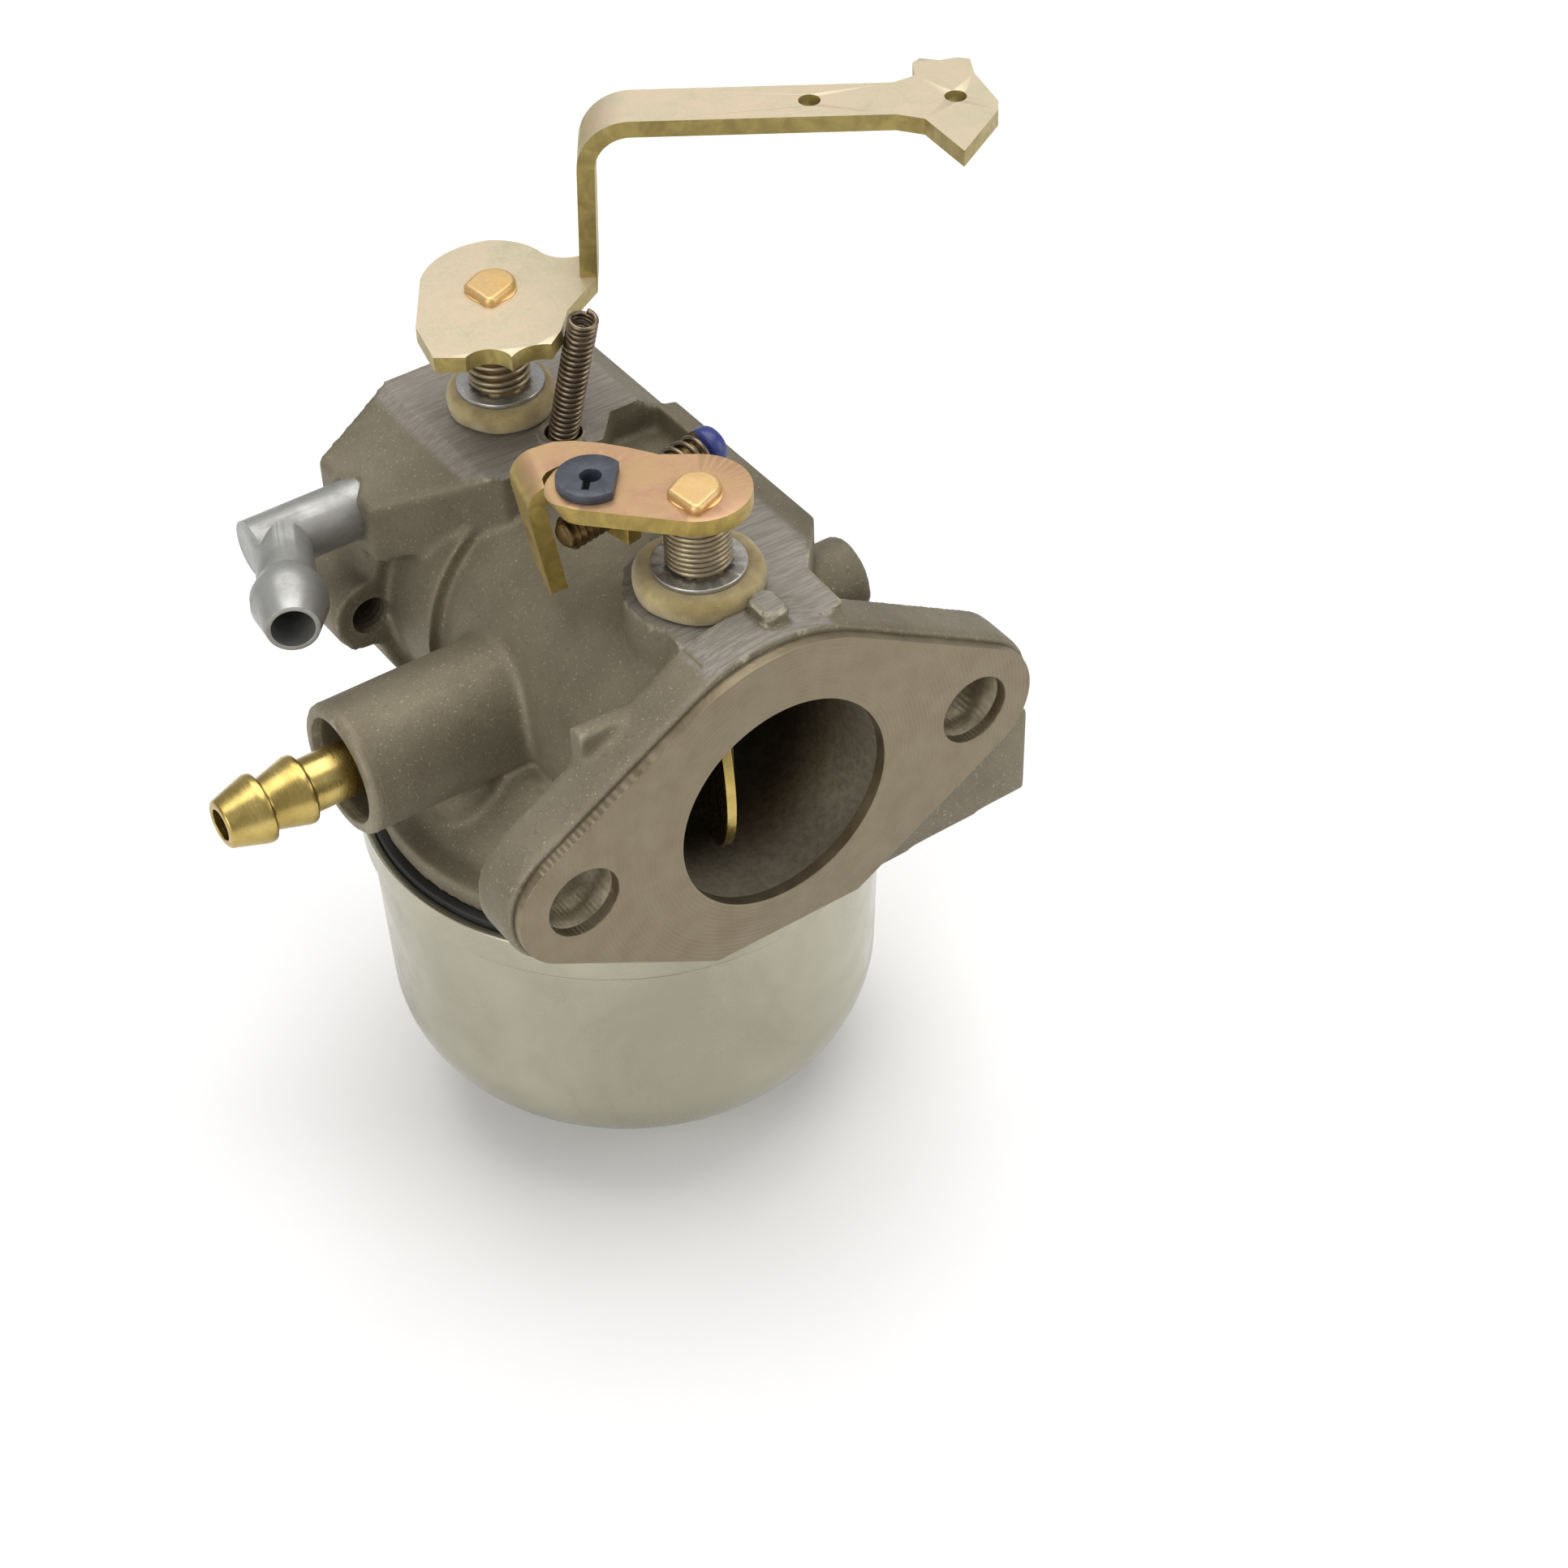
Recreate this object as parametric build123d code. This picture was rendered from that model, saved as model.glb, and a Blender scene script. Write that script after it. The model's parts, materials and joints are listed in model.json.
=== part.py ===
from build123d import *
import os
from math import cos, radians, sin, sqrt

# Small-engine float carburettor, millimetres.
# Origin: centre of the throttle bore on the engine flange's machined face.
# -Y points at the engine, +Y along the air path to the air horn, +Z up, bowl below.

os.makedirs("parts", exist_ok=True)

# ---------------------------------------------------------------- driving sizes
bolt_spacing = 42.0        # between the two flange bolt holes
bolt_hole_r = 3.52
bore_r = 10.82             # throttle bore
choke_bore_r = 12.5
venturi_r = 8.6
horn_end_y = 55.0          # face that the air filter sits on
spigot_end_y = 58.2        # lip round the choke bore, inside the filter's elbow
spigot_wall = 1.7
throttle_y = 12.35         # throttle shaft axis
choke_y = 45.2             # choke shaft axis
bowl_y = 28.0              # axis of the float bowl
bowl_r = 24.9              # outside of the bowl's wall, just under its lip
bowl_bottom_z = -47.0
throttle_pad_z = 16.6      # top of the pad round the throttle shaft
choke_deck_z = 17.0        # top of the air horn round the choke shaft
shaft_r = 2.3              # both shafts

# fits
run_gap = 0.05             # radial, shaft in its bore
seat_gap = 0.02            # between stacked flat pieces of different bodies
plate_gap = 0.14           # butterfly rim to bore wall

# engine flange
flange_t = 6.3
flange_mid_r = 17.0
flange_ear_r = 6.4
flange_flat_z = -15.1      # flat along the flange's bottom edge
land_depth = 1.3           # machined land stands this far proud of the cast edge
land_step = 0.6            # the cast outline is this much larger than the land

# casting walls
barrel_r = 13.2
barrel_end_y = 47.0
horn_wall_r = 16.4
deck_right_x = 10.5
side_x = 14.5
wing_x = -16.0
wing_z = 13.2
wing_bottom_z = 6.9
wing_crease_x = -7.2
lower_horn_y = 45.6
screw_boss_x = 16.6
screw_boss_z = 0.2
screw_boss_r = 3.8
air_screw_r = 2.0

# float chamber cover
cover_r = bowl_r - 0.9
cover_z = -15.2            # underside of the cover's rim
cover_top_z = -12.6
inner_rim_r = bowl_r - 2.4  # rim inside the bowl's lip
inner_rim_z = -19.0
dome_r = 14.5
dome_z = -6.0
chamber_r = bowl_r - 4.5
chamber_top_z = -15.6
post_r = 4.9

# bowl
bowl_wall = 0.8
bowl_corner_r = 9.4
bowl_draft = 0.5           # the wall is this much smaller at its lower end
lip_r = bowl_r + 0.7
lip_top_z = -15.9
lip_step_z = -19.6
gasket_t = 2.3

# fuel inlet boss, along -X
inlet_z = -0.8
inlet_boss_r = 6.4
inlet_boss_x = -29.3
inlet_cup_r = 5.15
inlet_cup_depth = 7.0
inlet_stem_r = 2.6
inlet_barb_r = 3.3
inlet_neck_r = 2.5
inlet_tip_r = 2.3
inlet_tip_x = -41.3
inlet_hole_r = 1.5

# idle restrictor boss, along +X
idle_boss_y = 16.0
idle_boss_z = 6.8
idle_boss_r = 3.8
idle_boss_x = 18.5
idle_thread_r = 2.0
idle_cap_r = 2.8

# vent elbow
elbow_y = 47.5
elbow_z = 10.5
elbow_r = 2.88
elbow_end_x = -26.1
elbow_barb_x = -23.0
elbow_depth = 5.0
elbow_angle = 246.0
elbow_barb_length = 13.4
elbow_root_r = 2.75
elbow_bulge_r = 3.55
elbow_mouth_r = 2.45
elbow_hole_r = 2.0

# seals, washers and springs on the two shafts
seal_t = 2.3
throttle_seal_r = 5.93
choke_seal_r = 5.16
washer_t = 0.5
throttle_washer_r = 4.25
choke_washer_r = 4.1
spring_wire = 0.54
rivet_height = 0.85         # peened ends of the shafts above their levers
lever_t = 1.6

# throttle lever
throttle_lever_z = 24.8    # underside
throttle_angle = 140.0     # direction of the lever's long axis at rest
throttle_plate_angle = 70.0
throttle_end_r = 4.8
throttle_link_r = 4.1
link_distance = 9.1
lever_offset = -1.05       # the lever's centre line passes beside the shaft
tab_bottom_z = 13.9
bushing_r = 3.05
bushing_neck_r = 1.9
bushing_flange_t = 0.9

# idle speed screw, carried under the throttle lever
idle_screw_z = 21.3
idle_screw_start = (-8.9, 20.0)   # tip
idle_screw_angle = 10.3
idle_screw_r = 1.6
idle_head_r = 2.05
idle_head_t = 2.0
idle_screw_length = 18.6          # tip to the far side of the head
idle_ear_at = 5.0

# choke lever
choke_lever_z = 28.0       # underside of the plate
choke_angle = -34.0        # direction of the arm at rest
arm_top_z = 45.5
riser_at = 7.9
arm_near = 1.6
arm_far = 7.1
arm_end = 37.6
bend_r = 5.0               # outside of the bend
riser_lean = 0.6           # the riser leans this far towards the arm
link_hole_r = 1.0

# choke detent spring
detent_r = 1.45
detent_base = (2.0, 37.8)
detent_tip = (3.3, 34.7)
detent_tip_z = 31.0
detent_depth = 5.0

# float and needle
pin_x = -20.3
pin_z = -20.7
pin_r = 0.8
pin_half_length = 5.0
needle_x = -16.6
needle_r = 1.15
seat_r = 2.1
float_outer_r = bowl_r - 6.7
float_inner_r = 7.6
float_top_z = -22.6
float_bottom_z = -31.0


# ---------------------------------------------------------------- helpers
def rod(radius, start, end):
    """A round bar between two points."""
    run = Vector(*end) - Vector(*start)
    return extrude(Plane(origin=start, z_dir=run) * Circle(radius), run.length)


def cone(start_radius, end_radius, start, end):
    """A tapered bar between two points."""
    run = Vector(*end) - Vector(*start)
    low = Plane(origin=start, z_dir=run)
    high = Plane(origin=end, x_dir=low.x_dir, z_dir=run)
    return loft(Sketch() + [low * Circle(start_radius), high * Circle(end_radius)])


def ring(outer, inner, x, y, low, high):
    """An upright sleeve."""
    return rod(outer, (x, y, low), (x, y, high)) - rod(inner, (x, y, low - 1), (x, y, high + 1))


def along_y(face, low, high):
    """Pull a face drawn with (x, z) coordinates from y = low to y = high."""
    return extrude(Plane(origin=(0, low, 0), x_dir=(1, 0, 0), z_dir=(0, -1, 0)) * face, -(high - low))


def upright(face, low, high):
    """Pull a face drawn with (x, y) coordinates from z = low to z = high."""
    return extrude(Pos(0, 0, low) * face, high - low)


def box(low, high):
    """A box between two corners."""
    size = [b - a for a, b in zip(low, high)]
    return Pos(*low) * Box(*size, align=(Align.MIN, Align.MIN, Align.MIN))


def lobes(circles):
    """The outline round a row of circles, given as (x, y, radius), and their tangents."""
    return make_hull((Sketch() + [Pos(x, y) * Circle(r) for x, y, r in circles]).edges())


def spun(points, x, y):
    """Turn a closed outline of (radius, z) points about an upright axis."""
    face = Plane(origin=(x, y, 0), x_dir=(1, 0, 0), z_dir=(0, -1, 0)) * make_face(Polyline(points, close=True))
    return revolve(face, Axis((x, y, 0), (0, 0, 1)))


def save(shape, name):
    export_step(shape, f"parts/{name}.step")


ear_x = bolt_spacing / 2


# ---------------------------------------------------------------- casting
def flange_outline(grow):
    """The two-eared flange, flat along its bottom edge."""
    face = lobes([
        (0, 0, flange_mid_r + grow),
        (-ear_x, 0, flange_ear_r + grow),
        (ear_x, 0, flange_ear_r + grow),
    ])
    tall = 2 * flange_mid_r + 10
    keep = Pos(0, flange_flat_z + tall / 2) * Rectangle(bolt_spacing + 40, tall)
    return face & keep


def engine_flange():
    land = along_y(flange_outline(0), 0, flange_t)
    edge = along_y(flange_outline(land_step), land_depth, flange_t)
    stay = along_y(lobes([(0, 0, barrel_r + 3.0), (-12, 1, 4), (12, 1, 4)]), flange_t - 1, flange_t + 1.6)
    lug_right = ear_x + flange_ear_r + 2.1
    lug_low = flange_flat_z - 0.9
    lug = along_y(
        make_face(Polyline([
            (11, lug_low - 0.9), (18, lug_low - 0.4), (lug_right, lug_low),
            (lug_right, -6.2), (lug_right - 1.5, -4.8), (ear_x, -4.0), (11, -8),
        ], close=True)),
        land_depth + 1.2, flange_t + 1.5,
    )
    rib = along_y(
        make_face(Polyline([(-17.3, 6.0), (-17.3, 13.3), (-9.0, 12.8), (-9.0, 6.0)], close=True)),
        flange_t - 1.4, flange_t + 0.6,
    )
    return land + edge + stay + lug + rib


def throttle_pad():
    """Flat pad round the throttle shaft and the plateau beside it."""
    pad = upright(make_face(Polyline([
        (-6.0, 3.0), (8.6, 3.0), (8.9, 8.8), (side_x, 15.6), (side_x, 38.0), (12.2, 38.0),
        (12.2, 31.6), (9.5, 28.4), (5.4, 21.3), (0.0, 20.4), (-4.3, 18.2), (-6.0, 15.0),
    ], close=True)), 8.0, throttle_pad_z)
    neck = rod(throttle_seal_r + 0.9, (0, throttle_y, 4), (0, throttle_y, throttle_pad_z))
    slope = along_y(
        make_face(Polyline([(10.4, 20), (10.4, throttle_pad_z), (side_x + 1, 15.2), (20, 15.2), (20, 20)],
                           close=True)),
        0, horn_end_y,
    )
    peg = box((0.4, 2.6, throttle_pad_z - 1), (3.0, 6.2, throttle_pad_z + 2.6))
    peg = chamfer(peg.edges().filter_by(Axis.Z), 0.6)
    peg = chamfer(peg.faces().sort_by(Axis.Z)[-1].edges(), 0.35)
    pocket_floor = upright(make_face(Polyline([(7.0, 26.0), (13.2, 26.0), (13.2, 40.0), (3.0, 40.0)], close=True)),
                           8.0, throttle_pad_z - 3.4)
    return (pad + neck - slope) + peg + pocket_floor


def air_horn():
    """Block round the choke bore: flat deck, sloping left wing, screw bosses on both sides."""
    top = along_y(
        make_face(Polyline([
            (wing_x, wing_z), (wing_crease_x, choke_deck_z), (deck_right_x, choke_deck_z),
            (side_x, 13.8), (side_x, 0), (wing_x, 0),
        ], close=True)),
        30, horn_end_y,
    )
    plan = upright(
        make_face(Polyline([
            (wing_x, 43.2), (-6.0, 35.0), (4.6, 35.0), (7.4, 38.2), (deck_right_x + 0.6, 38.2), (side_x, 36.5),
            (side_x + 1, horn_end_y - 2.5), (deck_right_x, horn_end_y), (wing_crease_x, horn_end_y),
            (wing_x, horn_end_y - 2.2),
        ], close=True)),
        -1, choke_deck_z,
    )
    block = top & plan
    under_wing = box((wing_x - 1, 30, -2), (-4, lower_horn_y, wing_bottom_z))
    arch = rod(6.4, (-11.0, 30, 1.8), (-11.0, lower_horn_y, 1.8))
    block = block - under_wing - arch
    above_deck = box((-horn_wall_r, lower_horn_y - 2, choke_deck_z), (horn_wall_r, horn_end_y, 2 * horn_wall_r))
    round_part = rod(horn_wall_r, (0, lower_horn_y - 1.2, 0), (0, horn_end_y, 0)) - above_deck
    throat = rod(barrel_r + 1.4, (0, 37, 0), (0, lower_horn_y, 0))
    bosses = Part()
    for side in (-1, 1):
        x = side * screw_boss_x
        bosses += rod(screw_boss_r, (x, lower_horn_y - 1.2, screw_boss_z), (x, horn_end_y, screw_boss_z))
        low, high = sorted((side * 12.0, x))
        bosses += box((low, lower_horn_y, screw_boss_z - 3.2), (high, horn_end_y, screw_boss_z + 3.2))
    detent_boss = rod(2.35, (detent_base[0], detent_base[1], 12), (detent_base[0], detent_base[1], choke_deck_z + 0.35))
    return block + round_part + throat + bosses + detent_boss


def chamber_cover():
    """Round cover over the float bowl, with its spigot, hollow and centre post."""
    outer = spun([
        (0, dome_z + 4), (dome_r - 4, dome_z + 2), (dome_r, dome_z), (cover_r - 2.6, cover_top_z),
        (cover_r, cover_top_z - 0.4), (cover_r, cover_z), (inner_rim_r, cover_z), (inner_rim_r, inner_rim_z),
        (0, inner_rim_z),
    ], 0, bowl_y)
    hollow = ring(chamber_r, post_r + 0.6, 0, bowl_y, inner_rim_z - 1, chamber_top_z)
    post = rod(post_r, (0, bowl_y, -8), (0, bowl_y, bowl_bottom_z + bowl_wall))
    seat_boss = rod(seat_r + 1.8, (needle_x, bowl_y, inner_rim_z + 0.4), (needle_x, bowl_y, inlet_z))
    lugs = Part()
    for side in (-1, 1):
        inner, outer_y = sorted((side * 3.0, side * 4.8))
        lugs += box((pin_x - 1.6, bowl_y + inner, pin_z - 1.5), (pin_x + 1.6, bowl_y + outer_y, chamber_top_z + 1))
    return (outer - hollow) + post + seat_boss + lugs


def casting():
    body = engine_flange() + throttle_pad() + air_horn() + chamber_cover()
    body += rod(barrel_r, (0, 1, 0), (0, barrel_end_y, 0))
    body += rod(inlet_boss_r, (inlet_boss_x, bowl_y, inlet_z), (-6, bowl_y, inlet_z))
    body += rod(choke_bore_r + spigot_wall, (0, horn_end_y - 1, 0), (0, spigot_end_y, 0))
    body += rod(idle_boss_r, (6, idle_boss_y, idle_boss_z), (idle_boss_x, idle_boss_y, idle_boss_z))
    body += rod(shaft_r + 2.6, (0, throttle_y, -15.4), (0, throttle_y, -8))
    body += rod(shaft_r + 2.6, (0, choke_y, -17.4), (0, choke_y, -8))

    # room for the bowl's lip and its gasket
    body -= ring(lip_r + 0.6, inner_rim_r, 0, bowl_y, inner_rim_z - 4, cover_z)

    # air path: throttle bore, venturi, choke bore
    throat_y = bowl_y - 1
    body -= rod(bore_r, (0, -1, 0), (0, throat_y - 6, 0))
    body -= cone(bore_r, venturi_r, (0, throat_y - 6.01, 0), (0, throat_y, 0))
    body -= cone(venturi_r, choke_bore_r, (0, throat_y - 0.01, 0), (0, throat_y + 8, 0))
    body -= rod(choke_bore_r, (0, throat_y + 7.99, 0), (0, spigot_end_y + 1, 0))

    # fastener and shaft holes
    for side in (-1, 1):
        body -= rod(bolt_hole_r, (side * ear_x, -1, 0), (side * ear_x, flange_t + 5, 0))
        x = side * screw_boss_x
        body -= rod(air_screw_r, (x, 40, screw_boss_z), (x, horn_end_y + 1, screw_boss_z))
    body -= rod(shaft_r + run_gap, (0, throttle_y, -13.6), (0, throttle_y, 40))
    body -= rod(shaft_r + run_gap, (0, choke_y, -15.6), (0, choke_y, 40))

    # fuel path: inlet cup, passage to the needle seat, nozzle bore, idle passage
    body -= rod(inlet_cup_r, (inlet_boss_x - 1, bowl_y, inlet_z), (inlet_boss_x + inlet_cup_depth, bowl_y, inlet_z))
    body -= rod(inlet_stem_r, (inlet_boss_x, bowl_y, inlet_z), (needle_x - 2, bowl_y, inlet_z))
    body -= rod(inlet_hole_r, (needle_x - 3, bowl_y, inlet_z), (needle_x + 1, bowl_y, inlet_z))
    body -= rod(inlet_hole_r, (needle_x, bowl_y, inlet_z), (needle_x, bowl_y, -12))
    body -= rod(seat_r, (needle_x, bowl_y, -11.5), (needle_x, bowl_y, inner_rim_z - 1))
    body -= rod(1.9, (0, bowl_y, 0), (0, bowl_y, -36))
    body -= rod(3.2, (0, bowl_y, -36), (0, bowl_y, -60))
    body -= rod(pin_r, (pin_x, bowl_y - 6, pin_z), (pin_x, bowl_y + 6, pin_z))
    body -= rod(idle_thread_r, (10.6, idle_boss_y, idle_boss_z), (idle_boss_x + 1, idle_boss_y, idle_boss_z))
    body -= rod(idle_cap_r, (idle_boss_x - 2.0, idle_boss_y, idle_boss_z),
                (idle_boss_x + 1, idle_boss_y, idle_boss_z))

    # vent elbow socket and detent spring pocket
    body -= rod(elbow_r, (wing_x - 2, elbow_y, elbow_z), (wing_x + elbow_depth, elbow_y, elbow_z))
    body -= rod(detent_r + 0.3, *detent_line(-detent_depth, 12))
    return body


# ---------------------------------------------------------------- fittings
def inlet_fitting():
    """Brass hose barb pressed in the inlet boss."""
    y, z = bowl_y, inlet_z
    shape = rod(inlet_stem_r, (inlet_tip_x + 8.0, y, z), (needle_x - 2, y, z))
    tip = inlet_tip_x
    for root in (tip, tip + 4.1):
        narrow = inlet_tip_r if root == tip else inlet_neck_r
        shape += cone(narrow, inlet_barb_r, (root, y, z), (root + 3.2, y, z))
        shape += rod(inlet_barb_r, (root + 3.2, y, z), (root + 4.1, y, z))
    shape += rod(inlet_neck_r, (tip + 3.0, y, z), (tip + 9.0, y, z))
    return shape - rod(inlet_hole_r, (tip - 1, y, z), (needle_x, y, z))


def elbow_point(distance):
    angle = radians(elbow_angle)
    return (elbow_barb_x + distance * cos(angle), elbow_y + distance * sin(angle), elbow_z)


def vent_elbow():
    """Plated steel elbow: a blind shank along X with a hose barb towards the engine."""
    shape = rod(elbow_r, (elbow_end_x, elbow_y, elbow_z), (wing_x + elbow_depth, elbow_y, elbow_z))
    length = elbow_barb_length
    shape += rod(elbow_root_r, elbow_point(0), elbow_point(length - 6.0))
    shape += cone(elbow_root_r, elbow_bulge_r, elbow_point(length - 6.6), elbow_point(length - 4.6))
    shape += rod(elbow_bulge_r, elbow_point(length - 4.6), elbow_point(length - 3.4))
    shape += cone(elbow_bulge_r, elbow_mouth_r, elbow_point(length - 3.4), elbow_point(length))
    shape -= rod(elbow_hole_r, elbow_point(-0.5), elbow_point(length + 1))
    bore_start = (elbow_barb_x - 1, elbow_y, elbow_z)
    return shape - rod(elbow_hole_r - 0.4, bore_start, (wing_x + elbow_depth + 1, elbow_y, elbow_z))


def idle_restrictor():
    """Fixed idle jet screwed into its boss, with a screwdriver slot."""
    end = idle_boss_x - 3.0
    shape = rod(idle_thread_r, (11.6, idle_boss_y, idle_boss_z), (end, idle_boss_y, idle_boss_z))
    shape += cone(0.5, idle_thread_r, (10.7, idle_boss_y, idle_boss_z), (11.6, idle_boss_y, idle_boss_z))
    slot = box((end - 0.9, idle_boss_y - 0.35, idle_boss_z - 3), (end + 1, idle_boss_y + 0.35, idle_boss_z + 3))
    return shape - slot


def idle_cap():
    """Cup plug that closes the idle jet's boss."""
    x = idle_boss_x
    shape = rod(idle_cap_r, (x - 2.0, idle_boss_y, idle_boss_z), (x, idle_boss_y, idle_boss_z))
    return shape - rod(idle_cap_r - 0.5, (x - 1.4, idle_boss_y, idle_boss_z), (x + 1, idle_boss_y, idle_boss_z))


# ---------------------------------------------------------------- bowl group
def float_bowl():
    """Drawn steel bowl with a stepped lip and a rounded bottom corner."""
    inner_r = bowl_r - bowl_wall
    corner_z = bowl_bottom_z + bowl_corner_r
    lip_inner = lip_r - bowl_wall
    shoulder = lip_step_z + bowl_wall

    def section(wall_r, lip, step_z, floor_z, corner):
        low_r = wall_r - bowl_draft
        start = Polyline([(0, lip_top_z), (lip, lip_top_z), (lip, step_z), (wall_r, step_z), (low_r, corner_z)])
        bend = RadiusArc((low_r, corner_z), (low_r - corner, floor_z), corner)
        end = Polyline([(low_r - corner, floor_z), (0, floor_z), (0, lip_top_z)])
        face = make_face(Curve() + [start, bend, end])
        plane = Plane(origin=(0, bowl_y, 0), x_dir=(1, 0, 0), z_dir=(0, -1, 0))
        return revolve(plane * face, Axis((0, bowl_y, 0), (0, 0, 1)))

    outer = section(bowl_r, lip_r, lip_step_z, bowl_bottom_z, bowl_corner_r)
    inner = section(inner_r, lip_inner, shoulder, bowl_bottom_z + bowl_wall, bowl_corner_r - bowl_wall)
    return outer - inner - rod(3.25, (0, bowl_y, -60), (0, bowl_y, -40))


def bowl_nut():
    """Hollow hexagon bolt that holds the bowl to the centre post and carries the main jet."""
    head_top = bowl_bottom_z - 1.0
    head = upright(Pos(0, bowl_y) * RegularPolygon(6.35, 6), head_top - 5.0, head_top)
    head = chamfer(head.faces().sort_by(Axis.Z)[0].edges(), 0.7)
    stem = rod(3.2, (0, bowl_y, head_top - 0.1), (0, bowl_y, -38.0))
    jet = rod(0.9, (0, bowl_y, head_top - 1.0), (0, bowl_y, -37))
    cross = rod(0.8, (-4, bowl_y, -43.6), (4, bowl_y, -43.6))
    return head + stem - jet - cross


def main_nozzle():
    """Brass emulsion tube that stands up into the venturi."""
    tube = rod(1.9, (0, bowl_y, -35.5), (0, bowl_y, -2.0)) - rod(0.9, (0, bowl_y, -40), (0, bowl_y, 0))
    for z in (-30.0, -26.0, -22.0):
        tube -= rod(0.4, (-4, bowl_y, z), (4, bowl_y, z))
    return tube


# ---------------------------------------------------------------- shafts
def butterfly_frame(y, angle):
    """Plane across a shaft's axis: local x lies along the butterfly, local y is its normal."""
    direction = (cos(radians(angle)), sin(radians(angle)), 0)
    return Plane(origin=(0, y, 0), x_dir=direction, z_dir=(0, 0, 1))


def rivet_head(base_z, y, radius):
    """Peened end of a shaft: a low rounded button drawn out at two corners."""
    outline = lobes([(0.35, 0.3, radius - 0.75), (-1.6, 0.95, 0.6), (-1.15, -1.75, 0.75)])
    button = extrude(Plane(origin=(0, y, base_z)) * outline, rivet_height)
    return fillet(button.faces().sort_by(Axis.Z)[-1].edges(), 0.55 * rivet_height)


def butterfly_shaft(y, angle, bottom_z, top_z, half_flat):
    """Shaft with a milled flat where the butterfly is screwed on, and a peened top."""
    shape = rod(shaft_r, (0, y, bottom_z), (0, y, top_z + 0.1))
    frame = butterfly_frame(y, angle)
    flat = frame * Pos(0, shaft_r, 0) * Box(8, 2 * shaft_r, 2 * half_flat)
    shape -= flat
    shape -= rod(0.8, (frame * Pos(0, -5, 0)).position, (frame * Pos(0, 5, 0)).position)
    return shape + rivet_head(top_z, y, shaft_r + 0.55)


def butterfly(y, angle, radius, thickness):
    """Brass disc on the shaft's flat, with its screw hole."""
    frame = butterfly_frame(y, angle)
    start = (frame * Pos(0, 0, 0)).position
    end = (frame * Pos(0, thickness, 0)).position
    disc = rod(radius, tuple(start), tuple(end))
    return disc - rod(0.85, (frame * Pos(0, -5, 0)).position, (frame * Pos(0, 5, 0)).position)


def butterfly_screw(y, angle, thickness):
    frame = butterfly_frame(y, angle)

    def at(distance):
        return tuple((frame * Pos(0, distance, 0)).position)

    shape = rod(0.8, at(-1.9), at(thickness))
    shape += rod(1.9, at(thickness), at(thickness + 1.0))
    slot = frame * Pos(0, thickness + 1.0, 0) * Box(6, 1.0, 0.5)
    return shape - slot


def detent_line(start, length):
    """Two points on the leaning detent spring's axis, measured from the deck."""
    foot = Vector(detent_base[0], detent_base[1], choke_deck_z)
    tip = Vector(detent_tip[0], detent_tip[1], detent_tip_z)
    along = (tip - foot).normalized()
    return tuple(foot + along * start), tuple(foot + along * (start + length))


def detent_spring():
    foot = Vector(detent_base[0], detent_base[1], choke_deck_z)
    tip = Vector(detent_tip[0], detent_tip[1], detent_tip_z)
    reach = (tip - foot).length
    start, end = detent_line(-detent_depth + 0.1, reach + detent_depth)
    return rod(detent_r, start, end) - rod(detent_r - 0.5, start, end)


# ---------------------------------------------------------------- throttle lever group
lever_frame = Plane(
    origin=(0, throttle_y, 0),
    x_dir=(cos(radians(throttle_angle)), sin(radians(throttle_angle)), 0),
    z_dir=(0, 0, 1),
)
tab_outer = (16.9, -4.9), (14.5, 0.2)
tab_inner = (13.0, -0.5), (15.4, -5.6)


def idle_screw_point(distance, side=0.0, lift=0.0):
    """A point along the idle speed screw's axis, offset sideways or upwards."""
    angle = radians(idle_screw_angle)
    x = idle_screw_start[0] + distance * cos(angle) - side * sin(angle)
    y = idle_screw_start[1] + distance * sin(angle) + side * cos(angle)
    return (x, y, idle_screw_z + lift)


def throttle_lever():
    """Stamped lever: link end, shaft end, stop tab bent down, and a threaded ear for the screw."""
    top = throttle_lever_z + lever_t
    plate = lobes([(0, lever_offset, throttle_end_r), (link_distance, lever_offset, throttle_link_r)])
    arm = make_face(Polyline([
        (4.0, -5.5), (8.0, -6.9), (13.6, -7.1), tab_outer[0], tab_outer[1], (12.4, -2.0), (9.0, -1.0),
    ], close=True))
    shape = lever_frame * upright(plate + arm, throttle_lever_z, top)
    tab = make_face(Polyline([*tab_outer, *tab_inner], close=True))
    shape += lever_frame * upright(tab, tab_bottom_z, top)
    ear_width = 2 * idle_screw_r + 2.4
    ear_low = idle_screw_point(idle_ear_at, -ear_width / 2)
    ear = Plane(origin=ear_low, x_dir=(cos(radians(idle_screw_angle)), sin(radians(idle_screw_angle)), 0))
    ear_drop = idle_screw_r + 0.9
    ear_height = top - 0.8 - (idle_screw_z - ear_drop)
    shape += ear * Pos(0, 0, -ear_drop) * Box(lever_t, ear_width, ear_height, align=(Align.MIN, Align.MIN, Align.MIN))
    shape -= rod(idle_screw_r + run_gap, idle_screw_point(idle_ear_at - 2), idle_screw_point(idle_ear_at + 4))
    shape -= rod(shaft_r, (0, throttle_y, 0), (0, throttle_y, 60))
    shape -= lever_frame * Pos(link_distance, lever_offset, 0) * Cylinder(bushing_neck_r, 80)
    return shape


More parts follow.
